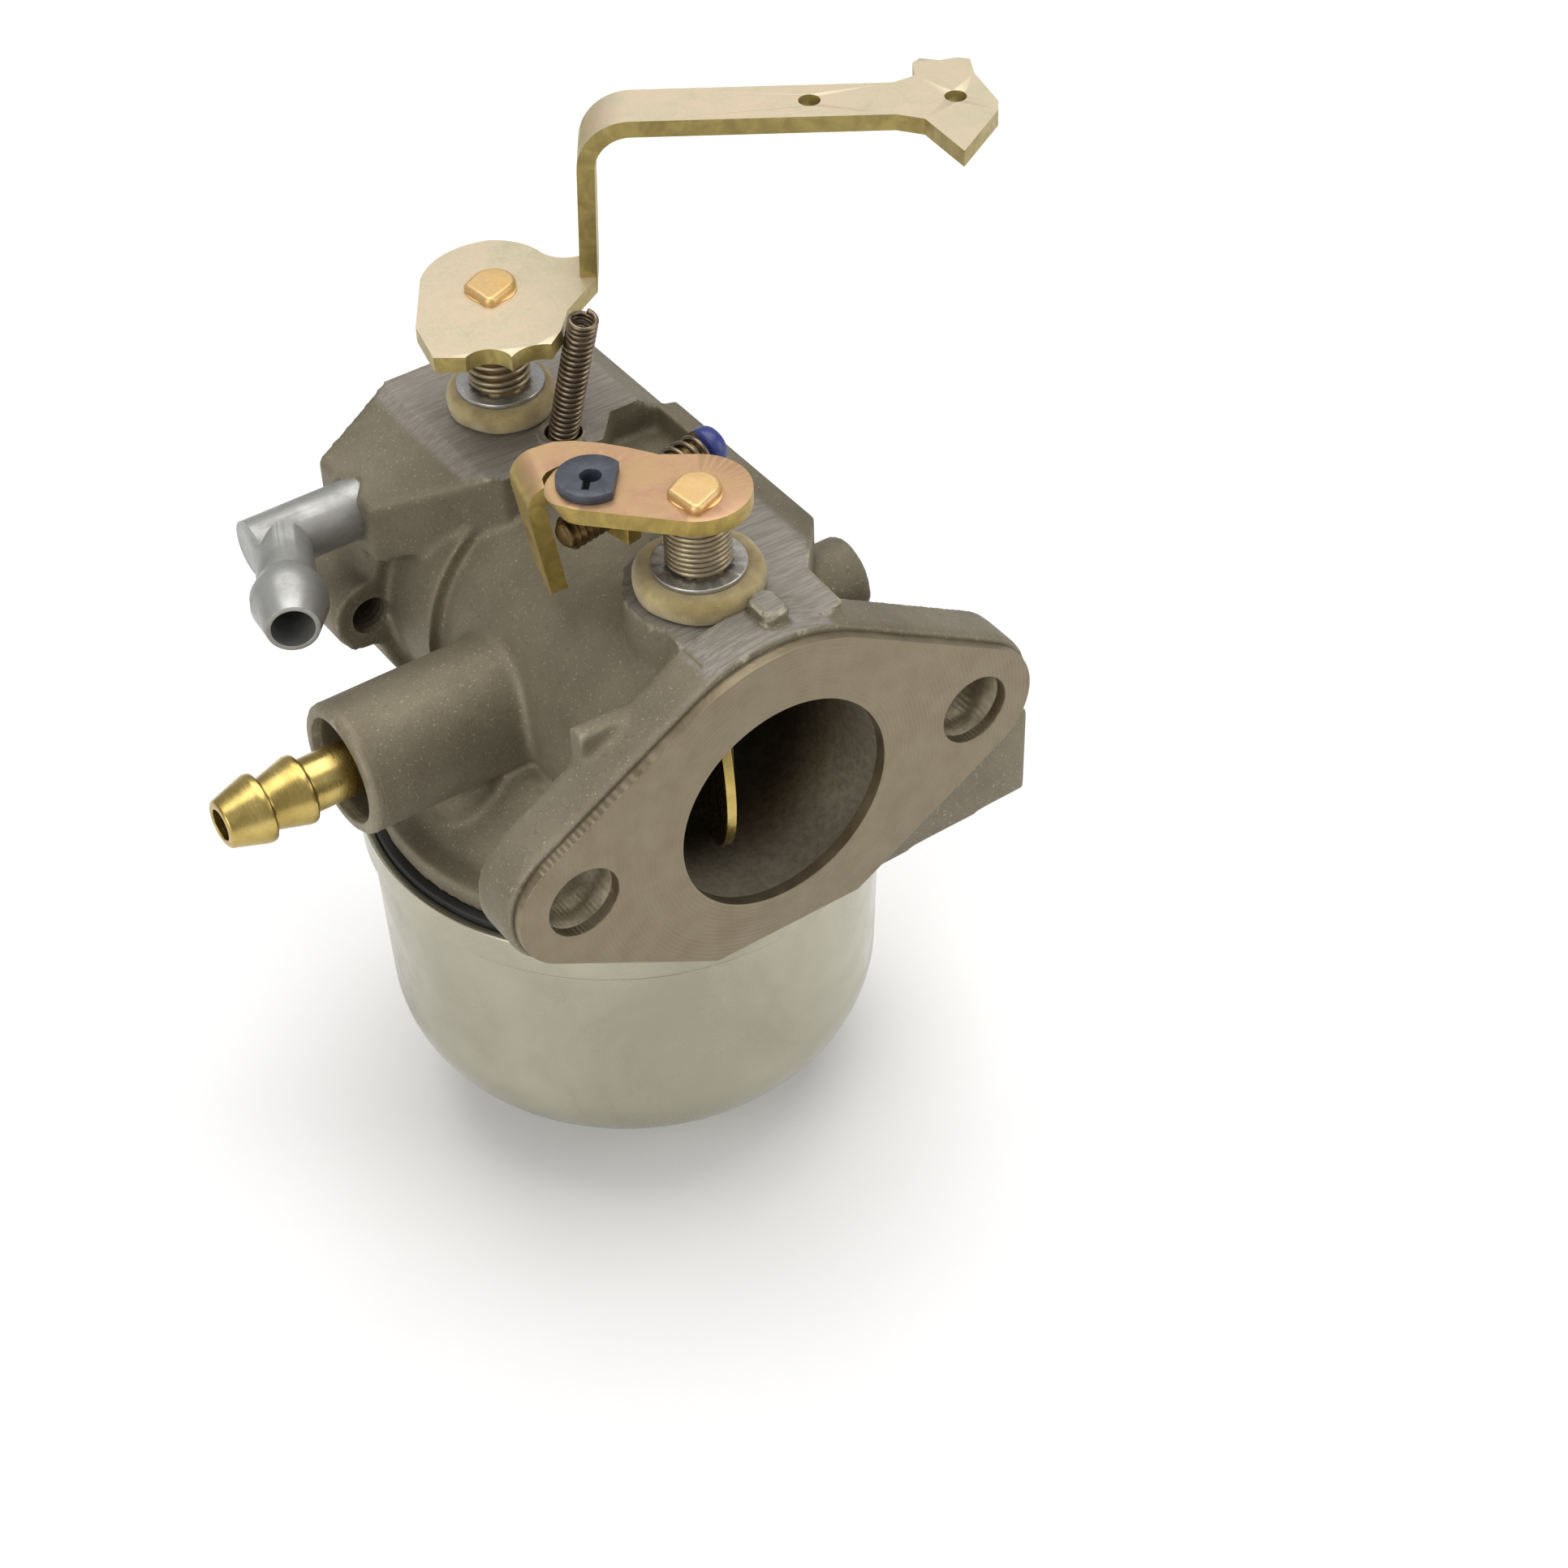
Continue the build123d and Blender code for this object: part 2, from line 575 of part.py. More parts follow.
def governor_bushing():
    """Snap-in bush for the governor link, with one side cut flat and a keyhole through it."""
    top = throttle_lever_z + lever_t
    centre = lever_frame * Pos(link_distance, lever_offset, 0)
    disc = centre * Pos(0, 0, top) * Cylinder(bushing_r, bushing_flange_t, align=(Align.CENTER, Align.CENTER, Align.MIN))
    disc -= centre * Pos(-bushing_r - 2.2, 0, top) * Box(2 * bushing_r, 20, 5)
    neck = centre * Pos(0, 0, throttle_lever_z - 0.5) * Cylinder(
        bushing_neck_r, lever_t + 0.6, align=(Align.CENTER, Align.CENTER, Align.MIN))
    foot = centre * Pos(0, 0, throttle_lever_z - 0.5) * Cylinder(
        bushing_neck_r + 0.45, 0.5, align=(Align.CENTER, Align.CENTER, Align.MIN))
    hole = centre * Cylinder(0.95, 80)
    key = centre * Pos(0.2, 1.2, 0) * Box(0.6, 1.6, 80)
    return disc + neck + foot - hole - key


def idle_speed_screw():
    head_start = idle_screw_length - idle_head_t
    shape = rod(idle_head_r, idle_screw_point(head_start), idle_screw_point(idle_screw_length))
    shape += rod(idle_screw_r, idle_screw_point(0.5), idle_screw_point(head_start))
    shape += cone(idle_screw_r - 0.5, idle_screw_r, idle_screw_point(0), idle_screw_point(0.5))
    run = Vector(*idle_screw_point(1)) - Vector(*idle_screw_point(0))
    slot_plane = Plane(origin=idle_screw_point(idle_screw_length), x_dir=(0, 0, 1), z_dir=run)
    return shape - slot_plane * Box(8, 0.7, 1.6)


def idle_spring():
    """Keeps the idle screw from turning: between the lever's ear and the screw's head."""
    start = idle_screw_point(idle_ear_at + lever_t)
    end = idle_screw_point(idle_screw_length - idle_head_t - 0.05)
    return rod(idle_head_r - 0.05, start, end) - rod(idle_screw_r + run_gap, idle_screw_point(0), end)


# ---------------------------------------------------------------- choke lever
choke_frame = Plane(
    origin=(0, choke_y, 0),
    x_dir=(cos(radians(choke_angle)), sin(radians(choke_angle)), 0),
    z_dir=(0, 0, 1),
)


def choke_lever():
    """One stamping: notched plate on the shaft, riser, long arm and arrow-shaped finger end."""
    plate_top = choke_lever_z + lever_t
    riser_end = riser_at + lever_t
    outline = Curve() + [
        Line((-6.5, -5.6), (-6.6, 2.0)),
        ThreePointArc((-6.6, 2.0), (-4.6, 6.2), (-0.6, 8.3)),
        ThreePointArc((-0.6, 8.3), (2.2, 7.7), (4.3, 6.0)),
        ThreePointArc((4.3, 6.0), (5.8, 5.1), (riser_end, arm_far)),
        Polyline([(riser_end, arm_far), (riser_end, arm_near), (7.0, -3.6), (6.5, -6.8), (5.7, -8.9)]),
        ThreePointArc((5.7, -8.9), (3.9, -9.1), (2.3, -10.7)),
        ThreePointArc((2.3, -10.7), (0.3, -9.4), (-1.8, -10.6)),
        Polyline([(-1.8, -10.6), (-4.6, -10.5), (-6.5, -5.6)]),
    ]
    plate = upright(make_face(outline), choke_lever_z, plate_top)
    width = arm_far - arm_near
    side = Plane(origin=(0, arm_near, 0), x_dir=(1, 0, 0), z_dir=(0, -1, 0))
    inner_r = bend_r - lever_t
    strip = FilletPolyline(
        [(riser_at + lever_t / 2, choke_lever_z),
         (riser_at + riser_lean + lever_t / 2, arm_top_z - lever_t / 2),
         (arm_end, arm_top_z - lever_t / 2)],
        radius=inner_r + lever_t / 2,
    )
    ribbon = extrude(side * trace(strip, lever_t), -width)
    head = upright(make_face(Polyline([
        (arm_end - 1.0, arm_near), (39.1, 0.7), (42.2, -4.8), (45.6, 1.9), (45.7, 3.4), (43.9, 8.4),
        (43.7, 10.9), (42.6, 11.2), (40.9, 10.8), (39.2, 11.2), (38.5, 10.5), (38.6, 8.2), (arm_end - 1.0, arm_far),
    ], close=True)), arm_top_z - lever_t, arm_top_z)
    shape = plate + ribbon + head
    for reach in (29.1, 42.0):
        shape -= Pos(reach, 4.4, arm_top_z) * Cylinder(link_hole_r, 8)
    shape = choke_frame * shape
    return shape - rod(shaft_r, (0, choke_y, 0), (0, choke_y, 40))


# ---------------------------------------------------------------- float group
def float_piece():
    """Hollow brass ring float with the hinge arm and needle tang soldered on."""
    body = ring(float_outer_r, float_inner_r, 0, bowl_y, float_bottom_z, float_top_z)
    arm = box((pin_x - 1.2, bowl_y - 2.6, float_top_z), (-9.0, bowl_y + 2.6, float_top_z + 0.7))
    knuckle = rod(pin_r + 0.75, (pin_x, bowl_y - 2.6, pin_z), (pin_x, bowl_y + 2.6, pin_z))
    web = box((pin_x - 1.2, bowl_y - 2.6, float_top_z), (pin_x + 1.2, bowl_y + 2.6, pin_z))
    return body + arm + web + knuckle - rod(pin_r + run_gap, (pin_x, bowl_y - 9, pin_z), (pin_x, bowl_y + 9, pin_z))


def inlet_needle():
    """Needle valve: a body that slides in the seat and a soft conical tip."""
    foot = float_top_z + 0.7 + seat_gap
    shape = rod(needle_r, (needle_x, bowl_y, foot), (needle_x, bowl_y, -14.6))
    return shape + cone(needle_r, 0.35, (needle_x, bowl_y, -14.6), (needle_x, bowl_y, -12.9))


def needle_seat():
    """Brass seat pressed in the casting."""
    shape = rod(seat_r, (needle_x, bowl_y, inner_rim_z + 0.4), (needle_x, bowl_y, -11.5))
    shape -= rod(needle_r + run_gap, (needle_x, bowl_y, inner_rim_z - 1), (needle_x, bowl_y, -14.5))
    return shape - cone(needle_r + run_gap, 0.4, (needle_x, bowl_y, -14.55), (needle_x, bowl_y, -12.4)) \
        - rod(0.8, (needle_x, bowl_y, -13), (needle_x, bowl_y, -11))


# ---------------------------------------------------------------- write the pieces
throttle_seal_top = throttle_pad_z + seal_t
choke_seal_top = choke_deck_z + seal_t
throttle_butterfly_r = sqrt((bore_r - plate_gap) ** 2 - 0.9 ** 2)
choke_butterfly_r = sqrt((choke_bore_r - plate_gap) ** 2 - 0.9 ** 2)
loose_bore_r = shaft_r + run_gap

pieces = {
    "carburetor_body": casting(),
    "fuel_inlet_fitting": inlet_fitting(),
    "vent_elbow": vent_elbow(),
    "idle_restrictor": idle_restrictor(),
    "idle_restrictor_cap": idle_cap(),
    "float_bowl": float_bowl(),
    "bowl_gasket": ring(lip_r - bowl_wall - 0.05, inner_rim_r + 0.02, 0, bowl_y, cover_z - gasket_t, cover_z),
    "bowl_nut": bowl_nut(),
    "bowl_nut_washer": ring(6.2, 3.3, 0, bowl_y, bowl_bottom_z - 1.0, bowl_bottom_z),
    "main_nozzle": main_nozzle(),
    "inlet_needle_seat": needle_seat(),
    "inlet_needle": inlet_needle(),
    "float": float_piece(),
    "float_hinge_pin": rod(pin_r, (pin_x, bowl_y - pin_half_length, pin_z), (pin_x, bowl_y + pin_half_length, pin_z)),
    "throttle_seal": ring(throttle_seal_r, loose_bore_r, 0, throttle_y, throttle_pad_z, throttle_seal_top),
    "throttle_seal_washer": ring(throttle_washer_r, loose_bore_r, 0, throttle_y, throttle_seal_top,
                                 throttle_seal_top + washer_t),
    "throttle_shaft_spring": ring(loose_bore_r + spring_wire, loose_bore_r, 0, throttle_y,
                                  throttle_seal_top + washer_t, throttle_lever_z - 0.1),
    "throttle_shaft": butterfly_shaft(throttle_y, throttle_plate_angle, -13.5, throttle_lever_z + lever_t, bore_r),
    "throttle_plate": butterfly(throttle_y, throttle_plate_angle, throttle_butterfly_r, 0.9),
    "throttle_plate_screw": butterfly_screw(throttle_y, throttle_plate_angle, 0.9),
    "throttle_lever": throttle_lever(),
    "governor_link_bushing": governor_bushing(),
    "idle_speed_screw": idle_speed_screw(),
    "idle_speed_spring": idle_spring(),
    "choke_seal": ring(choke_seal_r, loose_bore_r, 0, choke_y, choke_deck_z, choke_seal_top),
    "choke_seal_washer": ring(choke_washer_r, loose_bore_r, 0, choke_y, choke_seal_top, choke_seal_top + washer_t),
    "choke_shaft_spring": ring(loose_bore_r + 0.6, loose_bore_r, 0, choke_y, choke_seal_top + washer_t,
                               choke_lever_z - 0.1),
    "choke_shaft": butterfly_shaft(choke_y, 90.0, -15.5, choke_lever_z + lever_t, choke_bore_r),
    "choke_plate": butterfly(choke_y, 90.0, choke_butterfly_r, 0.9),
    "choke_plate_screw": butterfly_screw(choke_y, 90.0, 0.9),
    "choke_lever": choke_lever(),
    "choke_detent_spring": detent_spring(),
}

for name, shape in pieces.items():
    save(shape, name)
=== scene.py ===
import json
from math import atan2, cos, pi, radians, sin

import bmesh
import bpy
import numpy as np
from mathutils import Matrix, Vector
from mathutils.kdtree import KDTree

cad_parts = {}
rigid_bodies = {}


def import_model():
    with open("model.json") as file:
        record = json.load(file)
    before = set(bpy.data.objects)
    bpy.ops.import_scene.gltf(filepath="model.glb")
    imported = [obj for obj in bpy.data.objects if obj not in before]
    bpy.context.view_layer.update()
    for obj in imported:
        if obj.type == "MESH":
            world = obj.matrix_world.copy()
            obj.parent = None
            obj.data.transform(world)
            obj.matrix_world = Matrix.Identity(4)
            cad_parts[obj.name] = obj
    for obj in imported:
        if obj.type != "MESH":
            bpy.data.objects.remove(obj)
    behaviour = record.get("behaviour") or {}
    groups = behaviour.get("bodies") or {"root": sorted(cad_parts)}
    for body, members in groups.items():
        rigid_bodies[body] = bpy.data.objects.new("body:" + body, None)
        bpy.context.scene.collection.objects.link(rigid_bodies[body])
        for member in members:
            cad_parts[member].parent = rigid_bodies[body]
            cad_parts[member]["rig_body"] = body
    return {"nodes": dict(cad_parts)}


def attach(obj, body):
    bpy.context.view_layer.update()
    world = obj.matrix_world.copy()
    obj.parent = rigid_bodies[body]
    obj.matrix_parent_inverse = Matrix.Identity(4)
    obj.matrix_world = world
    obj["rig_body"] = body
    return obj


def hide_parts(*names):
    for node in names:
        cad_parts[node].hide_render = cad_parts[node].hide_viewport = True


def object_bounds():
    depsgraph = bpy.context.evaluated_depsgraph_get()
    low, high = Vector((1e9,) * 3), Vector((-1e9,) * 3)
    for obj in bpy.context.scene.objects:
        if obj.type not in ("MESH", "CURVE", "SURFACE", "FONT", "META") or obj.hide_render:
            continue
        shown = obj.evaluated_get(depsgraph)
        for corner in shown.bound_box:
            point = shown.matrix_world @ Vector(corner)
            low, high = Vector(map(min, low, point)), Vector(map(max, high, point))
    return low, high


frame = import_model()
cad_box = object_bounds()
nodes = frame["nodes"]
MM = 0.001

# Sizes of the carburettor that the looks share, in millimetres. The origin is the centre of the throttle
# bore on the engine face; Y runs along the bores to the air horn and Z is up.
THROTTLE_Y = 12.35         # axis of the throttle shaft
CHOKE_Y = 45.2             # axis of the choke shaft
BOWL_Y = 28.0              # axis of the bowl
PAD_Z = 16.6               # top of the pad round the throttle shaft
DECK_Z = 17.0              # top of the air horn round the choke shaft
CAST_TOP_X = -8.0          # the top is as cast to the left of this
BORE_R = 10.82             # throttle bore
BORE_END = 20.8            # end of its straight wall
CHOKE_BORE_R = 12.5
BOLT_R = 3.52              # the flange's bolt holes
EAR_X = 21.0               # their distance from the bore's axis
EAR_R = 6.4                # the flange's round ends
FLANGE_R = 17.0            # the flange's middle
FLANGE_FLAT_Z = -15.1      # flat along its lower edge
FLANGE_T = 6.3
LAND_DEPTH = 1.3           # depth of the machined land on the engine face
HORN_EDGE_Y = 54.5         # the air horn's face and lip lie beyond this
HORN_SCREW_X, HORN_SCREW_Z = 16.6, 0.2
HORN_SCREW_Y = 44.55       # bottom of the two screw holes in the air horn
HORN_SCREW_R = 2.0
ELBOW_Y, ELBOW_Z = 47.5, 10.5
INLET_X, INLET_Z = -29.3, -0.8  # mouth of the fuel boss
INLET_R = 6.4
CUP_R = 5.15               # the fuel boss's counterbore
INLET_TIP_X = -41.3        # end of the fuel barb
PITCH = 0.7                # every screw thread
LEVER_LOW = 24.8           # underside of the throttle lever
LEVER_T = 1.6
LEVER_TURN = radians(140.0)  # the lever's direction at rest
LINK_AT = (9.1, -1.05)     # the governor link's hole, in the lever's own plane

# Casting skin, in millimetres.
VOXEL = 0.36               # size of its surface cells
HOLD = 0.62 * VOXEL        # vertices this near a machined edge are put on it
EASE = 2.2                 # smoothing is held back this near a machined edge
PASSES, PULL = 3, 0.6      # smoothing passes, and how far each goes to the neighbours' mean


# ------------------------------------------------------------------ mesh helpers
def new_mesh(name, verts, faces, scale=MM, smooth=True):
    """Object made of vertices in millimetres and faces."""
    data = bpy.data.meshes.new(name)
    data.from_pydata([tuple(float(c) * scale for c in v) for v in verts], [], faces)
    data.validate()
    data.update()
    obj = bpy.data.objects.new(name, data)
    bpy.context.scene.collection.objects.link(obj)
    if smooth:
        data.polygons.foreach_set("use_smooth", [True] * len(data.polygons))
    return obj


def recalc(obj):
    """Face normals outwards."""
    work = bmesh.new()
    work.from_mesh(obj.data)
    bmesh.ops.recalc_face_normals(work, faces=work.faces)
    work.to_mesh(obj.data)
    work.free()


def axis_frame(axis):
    """Two unit directions across an axis, and the axis."""
    w = np.array(axis, float)
    w /= np.linalg.norm(w)
    u = np.cross((0.0, 0.0, 1.0), w)
    if np.linalg.norm(u) < 1e-6:
        u = np.array((1.0, 0.0, 0.0))
    u /= np.linalg.norm(u)
    return u, np.cross(w, u), w


def lathe(name, profile, centre=(0, 0, 0), axis=(0, 0, 1), segments=96, wobble=None):
    """Solid of revolution: a closed profile of (radius, distance along the axis) points.

    wobble(angle, radius, along) is added to the radius.
    """
    u, v, w = axis_frame(axis)
    centre = np.array(centre, float)
    verts, faces = [], []
    count = len(profile)
    for k in range(segments):
        a = 2 * pi * k / segments
        for radius, along in profile:
            r = radius + (wobble(a, radius, along) if wobble else 0.0)
            verts.append(centre + u * r * cos(a) + v * r * sin(a) + w * along)
    for k in range(segments):
        n = (k + 1) % segments
        for j in range(count):
            m = (j + 1) % count
            if profile[j][0] < 1e-6 and profile[m][0] < 1e-6:
                continue
            faces.append((k * count + j, n * count + j, n * count + m, k * count + m))
    obj = new_mesh(name, verts, faces)
    work = bmesh.new()
    work.from_mesh(obj.data)
    bmesh.ops.remove_doubles(work, verts=work.verts, dist=1e-7)
    bmesh.ops.dissolve_degenerate(work, dist=1e-8, edges=work.edges)
    bmesh.ops.recalc_face_normals(work, faces=work.faces)
    work.to_mesh(obj.data)
    work.free()
    return obj


def tube(name, path, radius, sides=12):
    """Round wire that follows a path of points, with flat ends."""
    path = np.array(path, float)
    step = np.gradient(path, axis=0)
    step /= np.linalg.norm(step, axis=1)[:, None]
    side = np.cross(step[0], (0.31, 0.17, 0.93))
    side /= np.linalg.norm(side)
    verts, faces = [], []
    for k in range(len(path)):
        side = side - step[k] * (side @ step[k])
        side /= np.linalg.norm(side)
        other = np.cross(step[k], side)
        for s in range(sides):
            a = 2 * pi * s / sides
            verts.append(path[k] + radius * (side * cos(a) + other * sin(a)))
    for k in range(len(path) - 1):
        for s in range(sides):
            n = (s + 1) % sides
            faces.append((k * sides + s, k * sides + n, (k + 1) * sides + n, (k + 1) * sides + s))
    faces.append(tuple(range(sides))[::-1])
    faces.append(tuple((len(path) - 1) * sides + s for s in range(sides)))
    obj = new_mesh(name, verts, faces)
    recalc(obj)
    return obj


def helix(start, end, radius, turns, dead=1.5, per_turn=32, phase=0.0, wire=0.5):
    """Points of a compression spring between two points.

    Its first and last dead turns lie close together, one wire apart.
    """
    start, end = np.array(start, float), np.array(end, float)
    length = np.linalg.norm(end - start)
    u, v, w = axis_frame(end - start)
    total = int(turns * per_turn)
    points = []
    close = wire / length
    for k in range(total + 1):
        turn = k / per_turn
        if turn < dead:
            along = close * turn
        elif turn > turns - dead:
            along = 1 - close * (turns - turn)
        else:
            share = (turn - dead) / (turns - 2 * dead)
            along = close * dead + share * (1 - 2 * close * dead)
        a = phase + 2 * pi * turn
        points.append(start + w * along * length + radius * (u * cos(a) + v * sin(a)))
    return points


def bevel(obj, width, segments=2, angle=35):
    """Small round on every edge sharper than angle degrees, by modifiers; width in millimetres."""
    weld = obj.modifiers.new("weld", "WELD")
    weld.merge_threshold = 1e-6
    edge = obj.modifiers.new("bevel", "BEVEL")
    edge.width = width * MM
    edge.segments = segments
    edge.limit_method = "ANGLE"
    edge.angle_limit = radians(angle)
    edge.use_clamp_overlap = True
    edge.harden_normals = False
    even = obj.modifiers.new("normals", "WEIGHTED_NORMAL")
    even.keep_sharp = False
    even.weight = 60
    obj.data.polygons.foreach_set("use_smooth", [True] * len(obj.data.polygons))
    obj.data.update()


def apply_modifiers(obj):
    """Turns what the modifiers make into the object's own mesh."""
    view = bpy.context.evaluated_depsgraph_get()
    obj_eval = obj.evaluated_get(view)
    data = bpy.data.meshes.new_from_object(obj_eval)
    obj.modifiers.clear()
    obj.data = data


# ------------------------------------------------------------------ material helpers
class Look:
    """A procedural material: small wrappers round the node tree."""

    def __init__(self, name, **fixed):
        self.material = bpy.data.materials.new(name)
        self.material.use_nodes = True
        self.tree = self.material.node_tree
        self.shader = self.tree.nodes["Principled BSDF"]
        for key, value in fixed.items():
            self.shader.inputs[key.replace("_", " ")].default_value = value
        self.place = self.add("ShaderNodeTexCoord").outputs["Object"]

    def add(self, kind, inputs=None, **settings):
        """New node; each input is a socket to link or a constant."""
        node = self.tree.nodes.new(kind)
        for key, value in settings.items():
            setattr(node, key, value)
        for key, value in (inputs or {}).items():
            if hasattr(value, "is_linked"):
                self.tree.links.new(value, node.inputs[key])
            else:
                node.inputs[key].default_value = value
        return node

    def noise(self, size, detail=3.0, rough=0.55, stretch=None, distort=0.0):
        """Noise with features of about size millimetres."""
        place = self.place
        if stretch:
            place = self.add("ShaderNodeMapping", {"Vector": place, "Scale": stretch}).outputs[0]
        return self.add("ShaderNodeTexNoise", {"Vector": place, "Scale": 1.0 / (size * MM), "Detail": detail,
                                               "Roughness": rough, "Distortion": distort}).outputs["Fac"]

    def span(self, value, low, high, to_low=0.0, to_high=1.0):
        """Carries low..high to to_low..to_high and holds it there."""
        return self.add("ShaderNodeMapRange", {"Value": value, "From Min": low, "From Max": high,
                                               "To Min": to_low, "To Max": to_high}).outputs[0]

    def mix(self, share, first, second):
        """Colour that goes from first to second as share goes from 0 to 1."""
        node = self.add("ShaderNodeMix", data_type="RGBA")
        for socket, value in ((node.inputs[0], share), (node.inputs[6], first), (node.inputs[7], second)):
            if hasattr(value, "is_linked"):
                self.tree.links.new(value, socket)
            elif isinstance(value, tuple):
                socket.default_value = (*value, 1.0)[:4]
            else:
                socket.default_value = value
        return node.outputs[2]

    def math(self, operation, first, second=0.0, third=None):
        inputs = {0: first, 1: second}
        if third is not None:
            inputs[2] = third
        return self.add("ShaderNodeMath", inputs, operation=operation).outputs[0]

    def attribute(self, name):
        return self.add("ShaderNodeAttribute", attribute_name=name).outputs["Fac"]

    def edges(self, low, high):
        """0 where the surface is flat or hollow, 1 on outer edges."""
        return self.span(self.add("ShaderNodeNewGeometry").outputs["Pointiness"], low, high)

    def color(self, value):
        self.tree.links.new(value, self.shader.inputs["Base Color"])

    def rough(self, value):
        self.tree.links.new(value, self.shader.inputs["Roughness"])

    def metal(self, value):
        self.tree.links.new(value, self.shader.inputs["Metallic"])

    def bump(self, height, strength, distance):
        """Adds a bump to those before it; distance in millimetres."""
        node = self.add("ShaderNodeBump", {"Height": height, "Strength": strength, "Distance": distance * MM})
        last = self.shader.inputs["Normal"]
        if last.is_linked:
            self.tree.links.new(last.links[0].from_socket, node.inputs["Normal"])
        self.tree.links.new(node.outputs[0], last)


def rgb(r, g, b):
    """Linear colour from 0-255 screen values, by the sRGB curve."""
    def line(c):
        c /= 255
        return c / 12.92 if c <= 0.04045 else ((c + 0.055) / 1.055) ** 2.4
    return line(r), line(g), line(b)


def plated(name, base, tint, rough=0.32, patch=3.0, grain=0.25, metallic=0.9, side=None, spots=0.55,
           relief=1.0):
    """Plated steel: patches from base to tint, fine grain and dull spots.

    patch and grain are sizes in millimetres, spots is how strongly the dull spots show, relief scales the
    bumps, and side is the colour of the upright faces, which are cut or bent: partly their own tone and partly
    painted shade, since faces take it by their facing alone.
    """
    look = Look(name, Metallic=metallic)
    patches = look.noise(patch, 4, 0.6, distort=0.6)
    fine = look.noise(grain, 3, 0.6)
    tone = look.mix(look.span(patches, 0.35, 0.68), rgb(*base), rgb(*tint))
    dull = rgb(*(c * 0.62 for c in base))
    tone = look.mix(look.span(look.noise(0.9, 5, 0.75), 0.62, 0.8, 0, spots), tone, dull)
    # partly painted shade: upright faces, the bent tab too, take the darker olive side colour by their facing
    # alone
    if side:
        facing = look.add("ShaderNodeTexCoord").outputs["Normal"]
        rise = look.math("ABSOLUTE", look.add("ShaderNodeSeparateXYZ", {"Vector": facing}).outputs[2])
        upright_tone_and_shade = look.mix(look.span(look.noise(1.6, 3, 0.6, distort=0.8), 0.35, 0.65), rgb(*side),
                          rgb(*(min(255, c * 1.18) for c in side)))
        tone = look.mix(look.span(rise, 0.45, 0.9), upright_tone_and_shade, tone)
    look.color(tone)
    look.rough(look.math("ADD", look.span(patches, 0.3, 0.7, rough - 0.06, rough + 0.1),
                         look.span(fine, 0.3, 0.7, -0.05, 0.07)))
    look.bump(fine, 0.25 * relief, 0.02)
    look.bump(look.noise(1.8, 2), 0.2 * relief, 0.08)
    return look.material


# ------------------------------------------------------------------ materials
def cast_material():
    """Oxidised casting alloy; the attributes machined and deck say where it was worked, and a third attribute
    darkens the bores and screw holes with painted shade.
    """
    look = Look("cast_alloy", Metallic=0.55)
    grain = look.noise(0.55, 6, 0.7)
    lumps = look.noise(2.6, 3, 0.55)
    broad = look.noise(9.0, 3, 0.5)
    machined = look.attribute("machined")
    deck = look.attribute("deck")

    # cast skin: broad tone, dark pits, pale smears, bright specks, and outer edges lightened, partly as wear
    # and partly as painted highlight
    cast = look.mix(look.span(broad, 0.3, 0.7), rgb(108, 100, 82), rgb(126, 118, 99))
    cast = look.mix(look.span(grain, 0.56, 0.76, 0, 0.6), cast, rgb(80, 74, 63))
    cast = look.mix(look.span(look.noise(1.2, 5, 0.7), 0.6, 0.72, 0, 0.22), cast, rgb(160, 153, 136))
    cast = look.mix(look.span(look.noise(0.26, 2, 0.5), 0.64, 0.72, 0, 0.55), cast, rgb(180, 172, 150))
    # partly wear, partly painted highlight: outer edges found by pointiness turn pale
    uneven = look.span(look.noise(0.8, 4, 0.7), 0.4, 0.6, 0.25, 1.0)
    worn_edge_and_highlight = look.math("MULTIPLY", look.edges(0.53, 0.62), uneven)
    cast = look.mix(worn_edge_and_highlight, cast, rgb(178, 170, 146))

    # bare metal of the machined faces, and the choke deck with its file marks
    bare = look.mix(look.span(lumps, 0.3, 0.7), rgb(124, 112, 90), rgb(138, 127, 106))
    bare = look.mix(look.span(grain, 0.62, 0.8, 0, 0.5), bare, rgb(112, 103, 84))
    filed = look.noise(0.5, 4, 0.6, stretch=(0.12, 1.4, 1.0))
    top = look.mix(look.span(filed, 0.4, 0.62), rgb(126, 120, 110), rgb(146, 140, 132))
    tone = look.mix(deck, cast, top)
    tone = look.mix(machined, tone, bare)
    # painted shade: a third attribute darkens the bores and screw holes towards dark brown
    look.color(look.mix(look.attribute("painted_shade"), tone, rgb(52, 46, 34)))
    look.metal(look.span(machined, 0, 1, 0.55, 0.85))
    look.rough(look.math("ADD", look.span(machined, 0, 1, 0.56, 0.42), look.span(lumps, 0.3, 0.7, -0.06, 0.08)))

    # turning marks round the throttle bore: even rings, and scratches of uneven depth
    ring_pitch, scratch_size = 0.42, 0.35
    split = look.add("ShaderNodeSeparateXYZ", {"Vector": look.place})
    from_axis = look.math("SQRT", look.math("ADD", look.math("POWER", split.outputs[0], 2.0),
                                            look.math("POWER", split.outputs[2], 2.0)))
    rings = look.math("SINE", look.math("ADD", look.math("MULTIPLY", from_axis, 2 * pi / (ring_pitch * MM)),
                                        look.span(broad, 0, 1, 0, 9.0)))
    look.bump(look.math("MULTIPLY", rings, machined), 0.6, 0.03)
    scratch = look.add("ShaderNodeTexNoise", {"W": look.math("DIVIDE", from_axis, scratch_size * MM),
                                              "Scale": 1.0, "Detail": 4.0, "Roughness": 0.7},
                       noise_dimensions="1D").outputs["Fac"]
    look.bump(look.math("MULTIPLY", scratch, machined), 0.7, 0.05)
    look.bump(look.math("MULTIPLY", filed, deck), 0.5, 0.06)

    # sand texture of the mould, almost gone from the machined faces
    sand = look.noise(0.3, 5, 0.75)
    look.bump(look.math("MULTIPLY", sand, look.span(machined, 0, 1, 1.0, 0.12)), 0.6, 0.1)
    look.bump(grain, 0.4, 0.08)
    look.bump(lumps, 0.2, 0.15)
    return look.material


